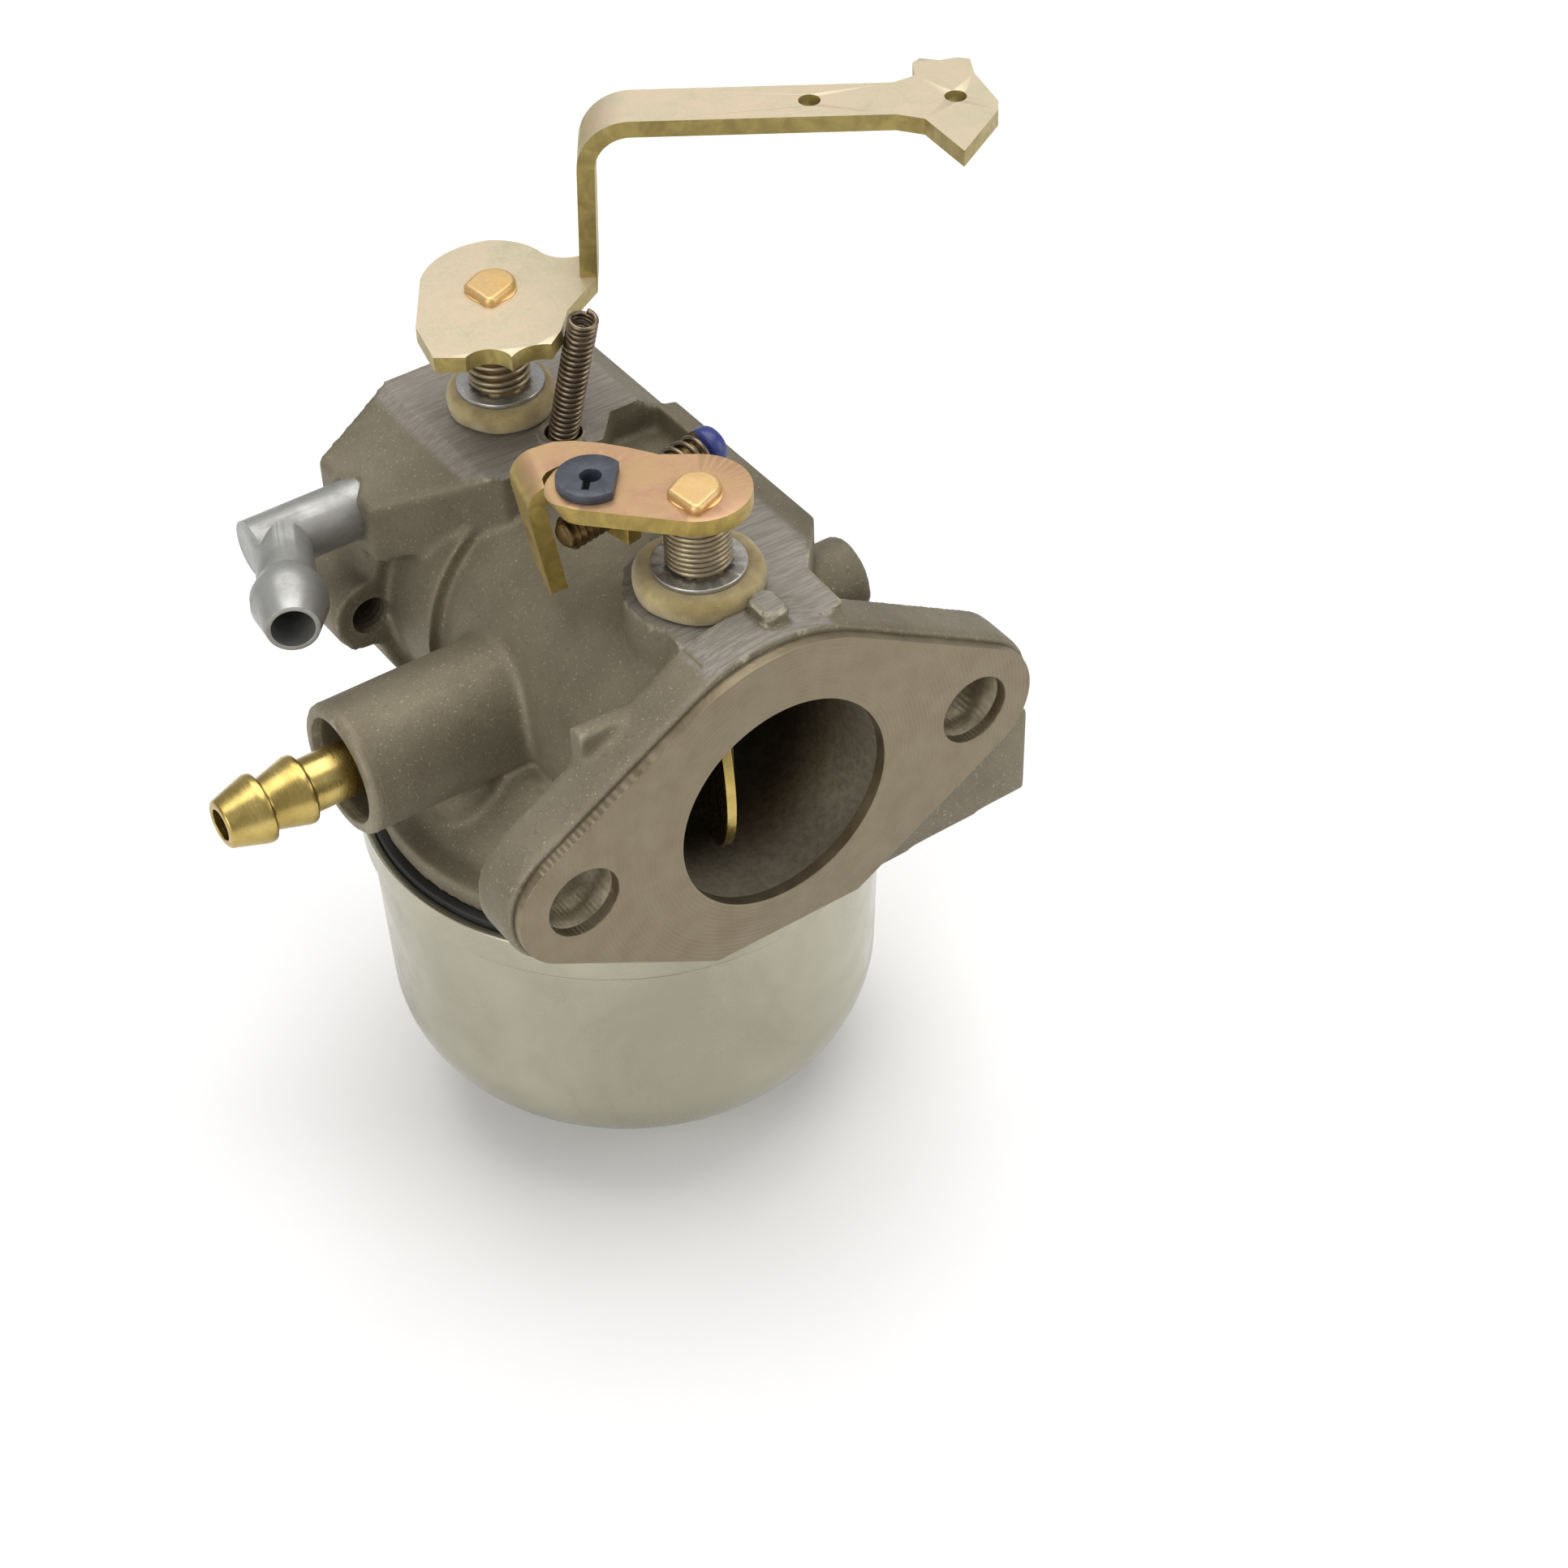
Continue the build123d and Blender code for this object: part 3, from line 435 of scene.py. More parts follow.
def brass_material():
    """Turned brass with fine lines and dark tarnish."""
    look = Look("brass", Metallic=1.0)
    lines = look.noise(0.3, 4, 0.6, stretch=(3.0, 0.25, 0.25))
    tone = look.mix(look.span(look.noise(2.5, 4), 0.35, 0.65), rgb(198, 176, 108), rgb(172, 148, 84))
    look.color(look.mix(look.span(look.noise(0.7, 5, 0.7), 0.6, 0.78, 0, 0.5), tone, rgb(112, 88, 40)))
    look.rough(look.span(lines, 0.3, 0.7, 0.22, 0.36))
    look.bump(lines, 0.3, 0.03)
    return look.material


def felt_material():
    """Oil-stained felt."""
    look = Look("felt", Metallic=0.0, Roughness=0.95, Sheen_Weight=0.4)
    fibre = look.noise(0.35, 8, 0.75, distort=2.0)
    tone = look.mix(look.span(look.noise(2.2, 4), 0.32, 0.68), rgb(180, 162, 110), rgb(146, 126, 76))
    look.color(look.mix(look.span(fibre, 0.55, 0.72, 0, 0.55), tone, rgb(96, 78, 42)))
    look.bump(fibre, 0.8, 0.22)
    return look.material


def plain_material(name, first, second, rough, metallic=0.0, size=1.5, bump=0.05):
    """One material with patches of two close colours; size and bump are in millimetres."""
    look = Look(name, Metallic=metallic)
    patches = look.noise(size, 5, 0.65)
    look.color(look.mix(look.span(patches, 0.35, 0.68), rgb(*first), rgb(*second)))
    look.rough(look.span(patches, 0.3, 0.7, rough - 0.06, rough + 0.08))
    look.bump(look.noise(size / 4, 4), 0.4, bump)
    return look.material


CAST = cast_material()
BRASS = brass_material()
FELT = felt_material()
ZINC = plated("zinc_plate", (172, 168, 149), (156, 152, 134), 0.2, 16.0, 5.0, spots=0.0, relief=0.05)
PALE = plated("pale_chromate", (204, 194, 163), (204, 184, 160), 0.42, 4.0, metallic=0.6,
              side=(142, 127, 76), spots=0.15)
GOLD = plated("gold_chromate", (222, 188, 136), (206, 172, 114), 0.42, 1.5, metallic=0.85, spots=0.2)
PINK = plated("pink_chromate", (190, 150, 120), (182, 152, 110), 0.38, 3.5, metallic=0.65,
              side=(146, 126, 68), spots=0.15)
SILVER = plated("silver_steel", (190, 190, 188), (170, 170, 168), 0.28, 3.0)
ELBOW = plated("elbow_zinc", (164, 164, 161), (140, 140, 135), 0.42, 3.0, metallic=0.7, spots=0.3)
WIRE = plain_material("spring_steel", (138, 122, 102), (96, 84, 70), 0.32, 0.9, 1.2, 0.01)
SHAFT_WIRE = plain_material("shaft_spring_steel", (160, 148, 122), (122, 110, 86), 0.34, 0.85, 1.6, 0.01)
RUBBER = plain_material("rubber", (22, 22, 22), (34, 33, 31), 0.6)
NYLON = plain_material("dark_nylon", (62, 66, 78), (46, 48, 58), 0.42)
PLASTIC = plain_material("black_plastic", (30, 30, 32), (40, 40, 42), 0.5)


def sealed_screw_material():
    """Gold plated screw with a daub of blue sealing paint on the upper part of its head."""
    daub_x, daub_z, soft = 7.2, 20.9, 0.15   # the daub's left and lower edges and how soft they are
    look = Look("sealed_screw", Metallic=0.85)
    split = look.add("ShaderNodeSeparateXYZ", {"Vector": look.place})
    ragged_x = look.span(look.noise(1.3, 3), 0.2, 0.8, -0.9 * MM, 0.9 * MM)
    on_head = look.span(look.math("ADD", split.outputs[0], ragged_x), daub_x * MM, (daub_x + soft) * MM)
    ragged_z = look.span(look.noise(1.1, 2), 0.2, 0.8, -0.7 * MM, 0.7 * MM)
    upper = look.span(look.math("ADD", split.outputs[2], ragged_z), daub_z * MM, (daub_z + soft) * MM)
    painted = look.math("MULTIPLY", on_head, upper)
    gold = look.mix(look.span(look.noise(1.2, 4), 0.35, 0.7), rgb(120, 98, 58), rgb(72, 58, 34))
    look.color(look.mix(painted, gold, rgb(40, 50, 112)))
    look.metal(look.span(painted, 0, 1, 0.85, 0.0))
    look.rough(look.span(look.noise(0.6, 3), 0.3, 0.7, 0.3, 0.42))
    look.bump(look.noise(0.5, 3), 0.3, 0.04)
    return look.material


SEALED = sealed_screw_material()

# CAD node: its material, and its material slot in the record
FINISH = {
    "carburetor_body": (CAST, "cast_alloy"), "fuel_inlet_fitting": (BRASS, "brass"),
    "vent_elbow": (ELBOW, "silver_steel"), "idle_restrictor": (BRASS, "brass"),
    "idle_restrictor_cap": (SILVER, "silver_steel"), "float_bowl": (ZINC, "zinc_plate"),
    "bowl_gasket": (RUBBER, "rubber"), "bowl_nut": (ZINC, "zinc_plate"),
    "bowl_nut_washer": (PLASTIC, "dark_plastic"), "main_nozzle": (BRASS, "brass"),
    "inlet_needle_seat": (BRASS, "brass"), "inlet_needle": (SILVER, "silver_steel"),
    "float": (PLASTIC, "dark_plastic"), "float_hinge_pin": (SILVER, "silver_steel"),
    "throttle_seal": (FELT, "felt"), "throttle_seal_washer": (SILVER, "silver_steel"),
    "throttle_shaft_spring": (SHAFT_WIRE, "spring_steel"), "throttle_shaft": (GOLD, "pale_chromate"),
    "throttle_plate": (BRASS, "brass"), "throttle_plate_screw": (SILVER, "silver_steel"),
    "throttle_lever": (PINK, "pink_chromate"), "governor_link_bushing": (NYLON, "dark_plastic"),
    "idle_speed_screw": (SILVER, "silver_steel"), "idle_speed_spring": (WIRE, "spring_steel"),
    "choke_seal": (FELT, "felt"), "choke_seal_washer": (SILVER, "silver_steel"),
    "choke_shaft_spring": (SHAFT_WIRE, "spring_steel"), "choke_shaft": (GOLD, "pale_chromate"),
    "choke_plate": (BRASS, "brass"), "choke_plate_screw": (SILVER, "silver_steel"),
    "choke_lever": (PALE, "pale_chromate"), "choke_detent_spring": (WIRE, "spring_steel"),
}


def paint(obj, material):
    """The object's only material."""
    if obj.material_slots:
        for place in obj.material_slots:
            place.material = material
    else:
        obj.data.materials.append(material)


def stand_for(obj, *names, material=None):
    """obj is shown in place of CAD nodes of one body, with the first one's finish or the given material."""
    finish, slot_name = FINISH[names[0]]
    paint(obj, material or finish)
    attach(obj, nodes[names[0]]["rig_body"])
    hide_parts(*names)
    return obj


for node_name, (finish, _) in FINISH.items():
    paint(nodes[node_name], finish)


# ------------------------------------------------------------------ casting
def neighbours_mean(points, edges, count):
    """For each vertex, the mean place of the vertices it shares an edge with."""
    a, b = edges[:, 0], edges[:, 1]
    degree = np.bincount(a, minlength=count) + np.bincount(b, minlength=count)
    out = np.empty_like(points)
    for axis in range(3):
        total = np.bincount(a, points[b, axis], count) + np.bincount(b, points[a, axis], count)
        out[:, axis] = total / np.maximum(degree, 1)
    return out


def step(value, low, high):
    """Smooth rise from 0 at low to 1 at high."""
    t = np.clip((value - low) / (high - low), 0, 1)
    return t * t * (3 - 2 * t)


SHARP = radians(28)        # edges of the CAD body that are sharper than this can be machined ones
CREASE = radians(34)       # edges of the skin that are sharper than this are shaded sharp


def sharp_points(data, keep, spacing=0.12):
    """Points along the sharp edges of a mesh whose middles pass the test, in millimetres."""
    work = bmesh.new()
    work.from_mesh(data)
    points = []
    for edge in work.edges:
        if len(edge.link_faces) != 2 or edge.calc_face_angle(0.0) < SHARP:
            continue
        a, b = (np.array(v.co) / MM for v in edge.verts)
        if keep(*((a + b) / 2)):
            count = max(1, int(np.linalg.norm(b - a) / spacing))
            points += [a + (b - a) * k / count for k in range(count + 1)]
    work.free()
    return points


def machined_edge(x, y, z):
    """Whether a tool cut the edge: choke bore, bolt holes, the horn's face and screw holes, pad and deck."""
    near = 0.2
    bore = abs(np.hypot(x, z) - CHOKE_BORE_R) < near
    bolt_hole = abs(np.hypot(abs(x) - EAR_X, z) - BOLT_R) < near
    screw_hole = abs(np.hypot(abs(x) - HORN_SCREW_X, z - HORN_SCREW_Z) - HORN_SCREW_R) < near
    top = z > PAD_Z - 0.3 and x > CAST_TOP_X
    return bool(bore or bolt_hole or screw_hole or y > HORN_EDGE_Y or top)


def draw_back(co):
    """Sinks the skin under the crisp pieces of the engine face, the bored holes and the fuel boss's mouth."""
    under_land = 0.15
    near_wall, behind_wall = 0.45, 0.32
    bolt_far = FLANGE_T + 1.6
    x, y, z = co.T
    y[:] = np.maximum(y, LAND_DEPTH - under_land)
    walls = ((0.0, BORE_R, BORE_END), (-EAR_X, BOLT_R, bolt_far), (EAR_X, BOLT_R, bolt_far))
    for centre_x, radius, far in walls:
        across = np.hypot(x - centre_x, z)
        near = (np.abs(across - radius) < near_wall) & (y < far)
        grow = np.where(near, (radius + behind_wall) / across, 1.0)
        x[:] = centre_x + (x - centre_x) * grow
        z[:] = z * grow

    # the elbow's socket closes in on the elbow
    socket_x, socket_r, closed_r = -10.5, 3.3, 2.5
    around = np.hypot(y - ELBOW_Y, z - ELBOW_Z)
    socket = (x < socket_x) & (around < socket_r)
    grow = np.where(socket, closed_r / np.maximum(around, 0.1), 1.0)
    y[:] = ELBOW_Y + (y - ELBOW_Y) * grow
    z[:] = ELBOW_Z + (z - ELBOW_Z) * grow

    # the fuel boss's wall stays between the two sides of its mouth piece
    mouth_depth, mouth_sink, half_wall, inside = 0.7, 0.25, 5.8, 0.2
    mouth = x < INLET_X + mouth_depth
    x[:] = np.maximum(x, INLET_X + mouth_sink)
    across = np.hypot(y - BOWL_Y, z - INLET_Z)
    wanted = np.where(across > half_wall, np.minimum(across, INLET_R - inside),
                      np.maximum(across, CUP_R + inside))
    grow = np.where(mouth, wanted / np.maximum(across, 0.1), 1.0)
    y[:] = BOWL_Y + (y - BOWL_Y) * grow
    z[:] = INLET_Z + (z - INLET_Z) * grow


def casting():
    """The rough casting: the CAD body rounded at its cast edges and crisp where it is machined."""
    data = nodes["carburetor_body"].data.copy()
    obj = bpy.data.objects.new("casting_skin", data)
    bpy.context.scene.collection.objects.link(obj)
    work = bmesh.new()
    work.from_mesh(data)
    bmesh.ops.remove_doubles(work, verts=work.verts, dist=1e-6)
    work.to_mesh(data)
    work.free()
    crisp = sharp_points(data, machined_edge)
    mesh = obj.modifiers.new("remesh", "REMESH")
    mesh.mode = "VOXEL"
    mesh.voxel_size = VOXEL * MM
    mesh.use_smooth_shade = True
    apply_modifiers(obj)
    data = obj.data
    count = len(data.vertices)
    co = np.empty(count * 3)
    data.vertices.foreach_get("co", co)
    co = co.reshape(-1, 3) / MM
    edges = np.empty(len(data.edges) * 2, int)
    data.edges.foreach_get("vertices", edges)
    edges = edges.reshape(-1, 2)

    # vertices beside a machined edge are drawn onto it and stay there
    tree = KDTree(len(crisp))
    for k, point in enumerate(crisp):
        tree.insert(point, k)
    tree.balance()
    free = np.ones(count)
    for k in range(count):
        point, _, away = tree.find(co[k])
        if away < HOLD:
            co[k] = point
            free[k] = 0.0
        elif away < EASE:
            free[k] = min(1.0, 0.12 + 0.35 * (away - HOLD))

    # the engine face, the throttle bore, the pad and the deck keep their shape in the smoothing
    x, y, z = co.T
    free *= step(y, 0.5, 1.4)
    free *= step(np.abs(np.hypot(x, z) - BORE_R), 0.2, 0.8)
    for level in (PAD_Z, DECK_Z):
        free *= step(np.abs(z - level), 0.1, 0.5) * 0.9 + 0.1
    for _ in range(PASSES):
        mean = neighbours_mean(co, edges, count)
        co += (mean - co) * (PULL * free)[:, None]
    draw_back(co)
    data.vertices.foreach_set("co", (co * MM).ravel())
    data.update()

    # where the skin shows bare metal: the fuel boss's end, and the pad and deck
    normal = np.empty(count * 3)
    data.vertices.foreach_get("normal", normal)
    normal = normal.reshape(-1, 3)
    boss_end = (1 - step(np.abs(co[:, 0] - INLET_X), 0.1, 0.4)) * step(-normal[:, 0], 0.5, 0.9)
    deck = step(co[:, 2], PAD_Z - 0.4, PAD_Z - 0.1) * step(normal[:, 2], 0.8, 0.95)
    for name, value in (("machined", boss_end), ("deck", deck)):
        layer = data.attributes.new(name, "FLOAT", "POINT")
        layer.data.foreach_set("value", value.astype(np.float32))
    hold_flats(data)
    return stand_for(obj, "carburetor_body")


def hold_flats(data):
    """Sharp shading where two flat or turned faces meet at a machined edge."""
    work = bmesh.new()
    work.from_mesh(data)
    for edge in work.edges:
        middle = (edge.verts[0].co + edge.verts[1].co) / 2 / MM
        if edge.calc_face_angle(0.0) > CREASE and machined_edge(*middle):
            edge.smooth = False
    work.to_mesh(data)
    work.free()


casting()


# ------------------------------------------------------------------ machined faces of the casting
def circle(x, y, radius, count=96):
    """Points of a circle in a plane, counter-clockwise."""
    angles = [2 * pi * k / count for k in range(count)]
    return [(x + radius * cos(a), y + radius * sin(a)) for a in angles]


def hull(points):
    """Convex outline round points of a plane, counter-clockwise."""
    points = sorted(set(points))

    def half(rows):
        out = []
        for p in rows:
            while len(out) > 1 and ((out[-1][0] - out[-2][0]) * (p[1] - out[-2][1])
                                    - (out[-1][1] - out[-2][1]) * (p[0] - out[-2][0])) <= 1e-9:
                out.pop()
            out.append(p)
        return out[:-1]
    return half(points) + half(points[::-1])


def slab(outline, holes, thickness, cuts=()):
    """Flat solid as a bmesh, in millimetres, from height 0 to thickness.

    cuts are (point, direction) planes that add edges across it.
    """
    work = bmesh.new()
    for loop in [outline] + list(holes):
        verts = [work.verts.new((u, v, 0)) for u, v in loop]
        for k, vert in enumerate(verts):
            work.edges.new((vert, verts[(k + 1) % len(verts)]))
    bmesh.ops.triangle_fill(work, use_beauty=True, use_dissolve=False, edges=work.edges[:])
    grown = bmesh.ops.extrude_face_region(work, geom=work.faces[:])["geom"]
    for item in grown:
        if isinstance(item, bmesh.types.BMVert):
            item.co.z += thickness
    for point, direction in cuts:
        bmesh.ops.bisect_plane(work, geom=work.verts[:] + work.edges[:] + work.faces[:], dist=1e-5,
                               plane_co=point, plane_no=direction)
    bmesh.ops.recalc_face_normals(work, faces=work.faces)
    return work


def solid(name, works, place):
    """One object from several bmeshes; place moves each point to its spot in millimetres."""
    verts, faces = [], []
    for work in works:
        work.verts.index_update()
        base = len(verts)
        verts += [place(*v.co) for v in work.verts]
        faces += [tuple(base + v.index for v in f.verts) for f in work.faces]
        work.free()
    obj = new_mesh(name, verts, faces)
    recalc(obj)
    return obj


def machined(obj, bare, painted_shade=0.0):
    """How far a piece of the casting shows bare metal, and how far painted shade darkens it, from 0 to 1."""
    for name, value in (("machined", bare), ("painted_shade", painted_shade)):
        layer = obj.data.attributes.new(name, "FLOAT", "POINT")
        layer.data.foreach_set("value", [value] * len(obj.data.vertices))
    return stand_for(obj, "carburetor_body")


def land_outline():
    """Outline of the engine land: a disc and two ears, cut flat along the bottom."""
    around = hull(circle(0, 0, FLANGE_R, 180) + circle(-EAR_X, 0, EAR_R) + circle(EAR_X, 0, EAR_R))
    kept = []
    for (x0, z0), (x1, z1) in zip(around, around[1:] + around[:1]):
        if z0 >= FLANGE_FLAT_Z:
            kept.append((x0, z0))
        if (z0 - FLANGE_FLAT_Z) * (z1 - FLANGE_FLAT_Z) < 0:
            kept.append((x0 + (x1 - x0) * (FLANGE_FLAT_Z - z0) / (z1 - z0), FLANGE_FLAT_Z))
    return kept


def sleeve(name, radius, x, far, wall, bare, painted_shade):
    """Smooth wall of a bored hole along Y, from inside the engine land to far."""
    near = LAND_DEPTH - 0.1
    profile = [(radius, near), (radius + wall, near), (radius + wall, far), (radius, far)]
    return machined(lathe(name, profile, (x, 0, 0), (0, 1, 0), 128), bare, painted_shade)


land_holes = [circle(0, 0, BORE_R, 128), circle(-EAR_X, 0, BOLT_R, 64), circle(EAR_X, 0, BOLT_R, 64)]
land = solid("engine_land", [slab(land_outline(), land_holes, LAND_DEPTH)], lambda u, v, h: (u, h, v))
bevel(land, 0.09)
machined(land, 1.0)
# the throttle bore's wall is darkened by painted shade (0.75); the bolt holes get none
sleeve("throttle_bore_wall", BORE_R, 0.0, BORE_END, wall=0.5, bare=0.3, painted_shade=0.75)
sleeve("bolt_wall_left", BOLT_R, -EAR_X, FLANGE_T, wall=0.45, bare=0.6, painted_shade=0.0)
sleeve("bolt_wall_right", BOLT_R, EAR_X, FLANGE_T, wall=0.45, bare=0.6, painted_shade=0.0)

hole_depth = 10.4
thread_in = HORN_SCREW_R - 0.28
thread_out = HORN_SCREW_R + 0.25
ridges = []
for k in range(14):
    at = 0.15 + k * PITCH
    ridges += [(HORN_SCREW_R, at), (thread_in, at + 0.3), (thread_in, at + 0.38), (HORN_SCREW_R, at + 0.68)]
thread_wall = [(HORN_SCREW_R, 0.0)] + ridges
thread_wall += [(HORN_SCREW_R, hole_depth), (thread_out, hole_depth), (thread_out, 0.0)]
# the walls of the horn's screw holes are darkened by painted shade (0.35)
for x, name in ((-HORN_SCREW_X, "screw_thread_left"), (HORN_SCREW_X, "screw_thread_right")):
    machined(lathe(name, thread_wall, (x, HORN_SCREW_Y, HORN_SCREW_Z), (0, 1, 0), 48), 0.3, 0.35)

mouth = [(CUP_R, 0.1), (CUP_R + 0.1, 0), (INLET_R - 0.45, 0), (INLET_R - 0.1, 0.3), (INLET_R + 0.02, 0.8),
         (INLET_R - 0.04, 1.3), (CUP_R, 6.8)]
machined(lathe("inlet_mouth", mouth, (INLET_X, BOWL_Y, INLET_Z), (1, 0, 0), 96), 0.25)


# ------------------------------------------------------------------ bowl
def bowl_profile(wall, radius, lip, corner, floor, lip_top, lip_low, draft, hole):
    """Section of the drawn bowl, outside from the lip down, and back up inside."""
    corner_steps = 14

    def side(inset):
        r, rim, c = radius - inset, lip - inset, corner - inset
        points = [(rim, lip_top), (rim, lip_low + inset + 0.5), (rim - 0.15, lip_low + inset + 0.15),
                  (rim - 0.5, lip_low + inset), (r + 0.2, lip_low + inset - 0.15), (r, lip_low + inset - 0.5)]
        for k in range(corner_steps + 1):
            a = pi / 2 * k / corner_steps
            points.append((r - draft - c + c * cos(a), floor + inset + c - c * sin(a)))
        points.append((hole, floor + inset))
        return points
    return side(0.0) + side(wall)[::-1]


bowl_section = bowl_profile(wall=0.8, radius=24.9, lip=25.6, corner=9.4, floor=-47.0, lip_top=-15.9,
                            lip_low=-19.6, draft=0.5, hole=3.3)
bowl = lathe("fuel_bowl", bowl_section, (0, BOWL_Y, 0), segments=192)
bevel(bowl, 0.2)
stand_for(bowl, "float_bowl")

# ------------------------------------------------------------------ fittings
# (radius, distance from the tip): two ridges, then the stem that goes into the boss
barb = [(1.5, 0), (2.05, 0), (2.3, 0.2),
        (3.25, 3.3), (3.3, 3.5), (3.3, 4.0), (3.15, 4.15), (2.55, 4.2), (2.5, 4.6),
        (3.25, 7.4), (3.3, 7.6), (3.3, 8.1), (3.15, 8.25), (2.65, 8.3), (2.6, 8.6),
        (2.6, 22.6), (1.5, 22.6)]
fuel_barb = lathe("fuel_barb", [(r, -a) for r, a in barb], (INLET_TIP_X, BOWL_Y, INLET_Z), (-1, 0, 0), 64)
bevel(fuel_barb, 0.12)
stand_for(fuel_barb, "fuel_inlet_fitting")


def seal(name, node, outer, inner, y, low, high):
    """Felt ring, rounded at its edges and a little uneven."""
    def uneven(angle, radius, along):
        return 0.07 * sin(3 * angle + 0.6) + 0.05 * sin(7 * angle + along) if radius > inner + 1 else 0.0

    profile = [(inner, low), (outer - 0.5, low), (outer - 0.1, low + 0.25), (outer, low + 0.8),
               (outer, high - 0.7), (outer - 0.15, high - 0.3), (outer - 0.5, high - 0.06),
               (outer - 0.9, high), (inner, high)]
    obj = lathe(name, profile, (0, y, 0), segments=96, wobble=uneven)
    return stand_for(obj, node)


seal("throttle_felt", "throttle_seal", 5.88, 2.4, THROTTLE_Y, PAD_Z, 18.9)
seal("choke_felt", "choke_seal", 5.1, 2.4, CHOKE_Y, DECK_Z, 19.3)

# coil, node, the shaft's Y, lower and upper end, coil radius, wire radius, turns
coils = [
    ("throttle_coil", "throttle_shaft_spring", THROTTLE_Y, 19.65, 24.55, 2.74, 0.265, 9.3),
    ("choke_coil", "choke_shaft_spring", CHOKE_Y, 20.1, 27.6, 2.66, 0.28, 9.5),
]
for name, node, y, bottom, top, radius, wire, turns in coils:
    path = helix((0, y, bottom), (0, y, top), radius, turns, dead=1.2, per_turn=36, phase=0.7, wire=wire * 2)
    stand_for(tube(name, path, wire, 12), node)

detent_foot = np.array((2.0, 37.8, DECK_Z))
detent_tip = np.array((3.3, 34.7, 31.0))
lean = (detent_tip - detent_foot) / np.linalg.norm(detent_tip - detent_foot)
path = helix(detent_foot - lean * 4.6, detent_tip - lean * 0.2, 1.2, 31, dead=2.0, per_turn=28, phase=0.3,
             wire=0.46)
stand_for(tube("detent_coil", path, 0.235, 10), "choke_detent_spring")

# the idle speed screw: (radius, distance from the tip) of its thread and its head
screw_turn = radians(10.3)
screw_axis = np.array((cos(screw_turn), sin(screw_turn), 0.0))
screw_tip = np.array((-8.9, 20.0, 21.3))
root_r, crest_r = 1.18, 1.6
screw = [(0, 0), (1.0, 0), (1.3, 0.35)]
for k in range(22):
    at = k * PITCH
    screw += [(root_r, 0.45 + at), (crest_r, 0.72 + at), (crest_r, 0.8 + at), (root_r, 1.06 + at)]
screw += [(1.3, 16.6), (1.85, 16.62), (2.05, 16.85), (2.05, 17.7), (1.9, 18.15), (1.5, 18.45), (0.9, 18.6),
          (0, 18.6)]
idle = lathe("idle_screw", screw, screw_tip, screw_axis, 48)
stand_for(idle, "idle_speed_screw", material=SEALED)
path = helix(screw_tip + screw_axis * 6.9, screw_tip + screw_axis * 16.3, 1.76, 9.0, dead=1.0, per_turn=32,
             phase=0.2, wire=0.48)
stand_for(tube("idle_coil", path, 0.24, 12), "idle_speed_spring")


# ------------------------------------------------------------------ throttle lever
BEND = (0.905, 0.426)      # direction across the bend line, in the lever's own plane
BEND_R = 0.9               # inside of the bend
BEND_ANGLE = radians(99)
BEND_AT = 13.2 - BEND_R - LEVER_T  # start of the bend, across its line from the shaft
TAB_LOW = 13.9             # lower end of the tab


def flat_point(along, aside):
    """Point of the flat lever, from its distances across and along the bend line."""
    return along * BEND[0] - aside * BEND[1], along * BEND[1] + aside * BEND[0]


def lever_place(u, v, height):
    """Place of a point of the flat lever once its tab is bent down.

    u is along the lever from the shaft, v across it, and height above its underside.
    """
    along = u * BEND[0] + v * BEND[1]
    aside = -u * BEND[1] + v * BEND[0]
    z = LEVER_LOW + height
    if along > BEND_AT:
        middle = BEND_R + LEVER_T / 2
        theta = min((along - BEND_AT) / middle, BEND_ANGLE)
        extra = along - BEND_AT - middle * theta
        along = BEND_AT + (BEND_R + height) * sin(theta) + extra * cos(theta)
        z = LEVER_LOW - BEND_R + (BEND_R + height) * cos(theta) - extra * sin(theta)
        u, v = flat_point(along, aside)
    x = u * cos(LEVER_TURN) - v * sin(LEVER_TURN)
    y = THROTTLE_Y + u * sin(LEVER_TURN) + v * cos(LEVER_TURN)
    return x, y, z


def lever_shape(tab_end):
    """Outline of the flat lever: two round ends joined by tangents, and the tab's strip at one side."""
    link_x, middle_y = LINK_AT
    strip_from_x, strip_from_angle = 4.0, radians(-50)
    ends = hull(circle(0, middle_y, 4.78, 128) + circle(link_x, middle_y, 3.75, 96))
    cut = [u > strip_from_x and v < middle_y and atan2(v - middle_y, u - link_x) < strip_from_angle
           for u, v in ends]
    last = max(k for k, gone in enumerate(cut) if gone)
    order = ends[last + 1:] + ends[:last + 1]
    shape = [p for p, gone in zip(order, cut[last + 1:] + cut[:last + 1]) if not gone]
    shape += [(3.8, -5.55), (6.4, -6.35), (8.8, -6.9), (11.4, -7.1), (13.2, -6.85)]
    shape += [flat_point(BEND_AT, -11.6), flat_point(tab_end - 0.8, -11.35), flat_point(tab_end - 0.1, -10.7),
              flat_point(tab_end - 0.25, -6.9), flat_point(tab_end - 0.9, -6.2)]
    shape += [flat_point(BEND_AT + 0.6, -6.0), flat_point(BEND_AT + 0.5, -7.2), flat_point(BEND_AT + 0.1, -7.8),
              flat_point(BEND_AT - 0.6, -8.1)]
    return shape


bend_length = (BEND_R + LEVER_T / 2) * BEND_ANGLE
tab_end = BEND_AT + bend_length + LEVER_LOW - BEND_R - TAB_LOW
lever_holes = [circle(0, 0, 2.3, 48), circle(*LINK_AT, 1.9, 48)]
bend_steps = 10
cut_places = [BEND_AT + bend_length * k / bend_steps for k in range(bend_steps + 1)]
cuts = [((*flat_point(place, 0), 0), (*BEND, 0)) for place in cut_places]
flat_lever = slab(lever_shape(tab_end), lever_holes, LEVER_T, cuts)
lever = solid("throttle_arm", [flat_lever], lever_place)
bevel(lever, 0.22, 3, 50)
stand_for(lever, "throttle_lever")

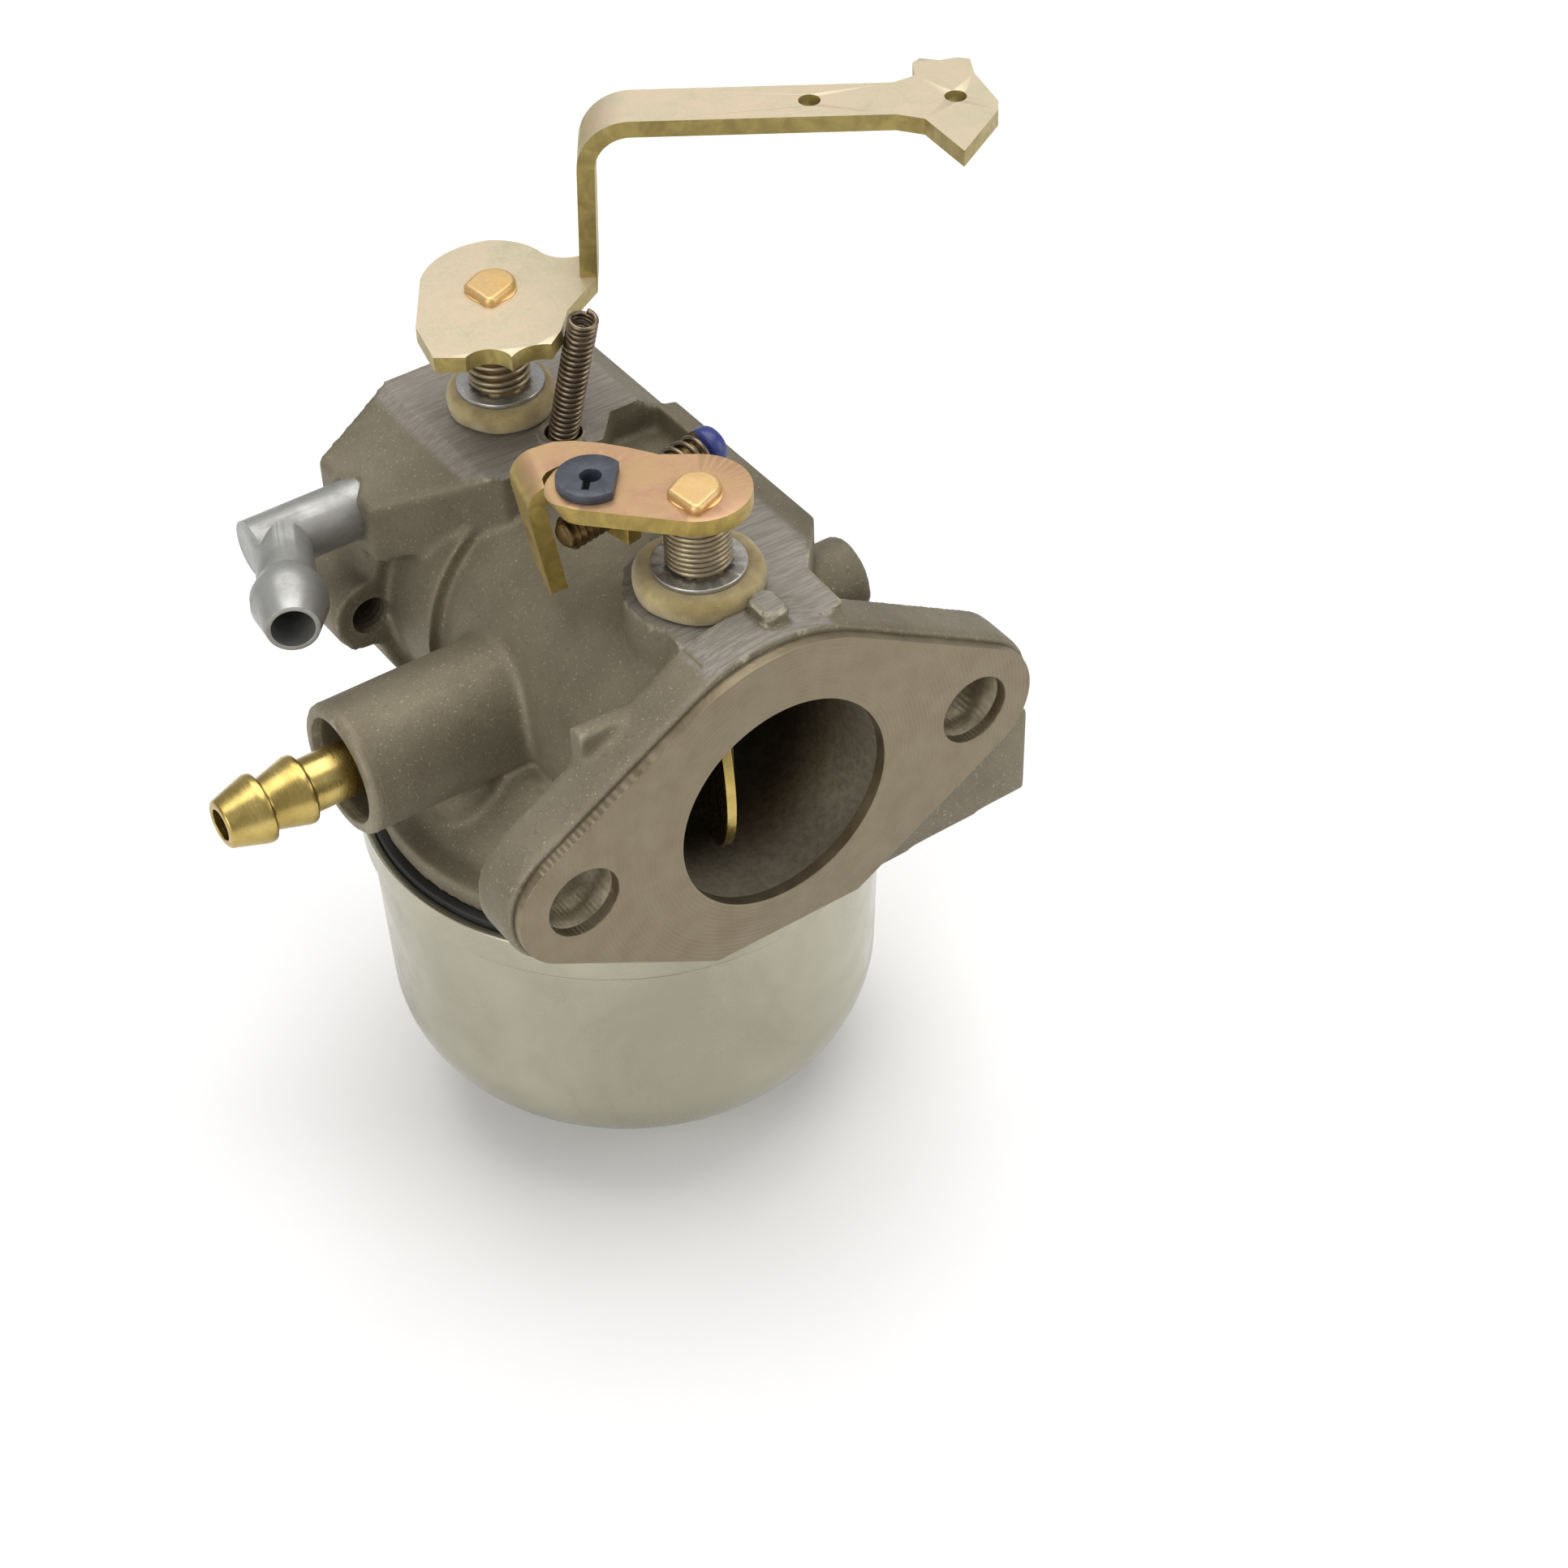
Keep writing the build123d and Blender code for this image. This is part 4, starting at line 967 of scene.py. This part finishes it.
# the ear under the lever that the idle speed screw goes through, square to the screw
ear_half, ear_low, ear_high, ear_t = 2.8, -2.4, 4.4, 1.6
across_screw = np.array((-sin(screw_turn), cos(screw_turn), 0))
upright = np.array((0, 0, 1.0))
ear_at = screw_tip + screw_axis * 5.0
ear_shape = [(-ear_half, ear_low), (ear_half, ear_low), (ear_half, ear_high), (-ear_half, ear_high)]
ear = solid("throttle_ear", [slab(ear_shape, [circle(0, 0, 1.65, 40)], ear_t)],
            lambda u, v, h: tuple(ear_at + screw_axis * h + across_screw * u + upright * v))
bevel(ear, 0.12)
stand_for(ear, "throttle_lever")

# ------------------------------------------------------------------ rounds on the pieces shown as they are
for name, width in (("choke_lever", 0.26), ("governor_link_bushing", 0.12),
                    ("throttle_shaft", 0.12), ("choke_shaft", 0.12), ("throttle_seal_washer", 0.08),
                    ("choke_seal_washer", 0.08), ("vent_elbow", 0.2), ("idle_restrictor_cap", 0.1),
                    ("bowl_nut", 0.2), ("bowl_nut_washer", 0.12), ("throttle_plate", 0.06),
                    ("choke_plate", 0.06), ("bowl_gasket", 0.2)):
    bevel(nodes[name], width)

# ------------------------------------------------------------------ floor, light and camera
low, _ = cad_box
half = 3.0
floor = new_mesh("floor", [(-half, -half, 0), (half, -half, 0), (half, half, 0), (-half, half, 0)],
                 [(0, 1, 2, 3)], scale=1.0, smooth=False)
floor.location.z = low[2] - 0.0005
look = Look("floor_white", Roughness=0.9)
look.color(look.mix(look.noise(60, 2), rgb(238, 238, 238), rgb(243, 243, 243)))
paint(floor, look.material)


def softbox(name, place, aim, size, power, color):
    """Rectangular soft light at place, in metres, that faces aim; power in watts."""
    lamp = bpy.data.lights.new(name, "AREA")
    lamp.shape = "RECTANGLE"
    lamp.size, lamp.size_y = size
    lamp.energy = power
    lamp.color = color
    obj = bpy.data.objects.new(name, lamp)
    bpy.context.scene.collection.objects.link(obj)
    obj.location = place
    obj.rotation_euler = (Vector(aim) - Vector(place)).to_track_quat("-Z", "Y").to_euler()


softbox("top_light", (0.1, 0.15, 0.75), (0, 0.02, 0), (0.8, 0.8), 6.0, (1.0, 0.99, 0.97))
softbox("left_light", (-0.75, -0.25, 0.35), (0, 0.02, -0.01), (0.6, 0.6), 3.4, (1.0, 0.99, 0.97))
softbox("right_light", (0.6, -0.55, 0.3), (0, 0.02, -0.01), (0.45, 0.6), 2.0, (1.0, 0.98, 0.95))

world = bpy.data.worlds.new("studio")
bpy.context.scene.world = world
world.use_nodes = True
world.node_tree.nodes["Background"].inputs["Color"].default_value = (0.92, 0.93, 0.95, 1)
world.node_tree.nodes["Background"].inputs["Strength"].default_value = 0.5

AZIMUTH, ELEVATION, ROLL = radians(-34.21), radians(42.421), radians(-1.502)
DISTANCE = 0.272426
TARGET = Vector((-0.00016, 0.0, 0.0024))
back = Vector((sin(AZIMUTH) * cos(ELEVATION), -cos(AZIMUTH) * cos(ELEVATION), sin(ELEVATION)))
right = Vector((cos(AZIMUTH), sin(AZIMUTH), 0))
up = back.cross(right)
turned_right = right * cos(ROLL) + up * sin(ROLL)
turned_up = up * cos(ROLL) - right * sin(ROLL)
camera = bpy.data.cameras.new("camera")
camera.sensor_width = 36.0
camera.lens = 71.5301553
camera.clip_start = 0.01
eye = bpy.data.objects.new("camera", camera)
bpy.context.scene.collection.objects.link(eye)
eye.matrix_world = Matrix.Translation(TARGET + back * DISTANCE) @ Matrix(
    (turned_right, turned_up, back)).transposed().to_4x4()
bpy.context.scene.camera = eye
bpy.context.scene.view_settings.view_transform = "Standard"
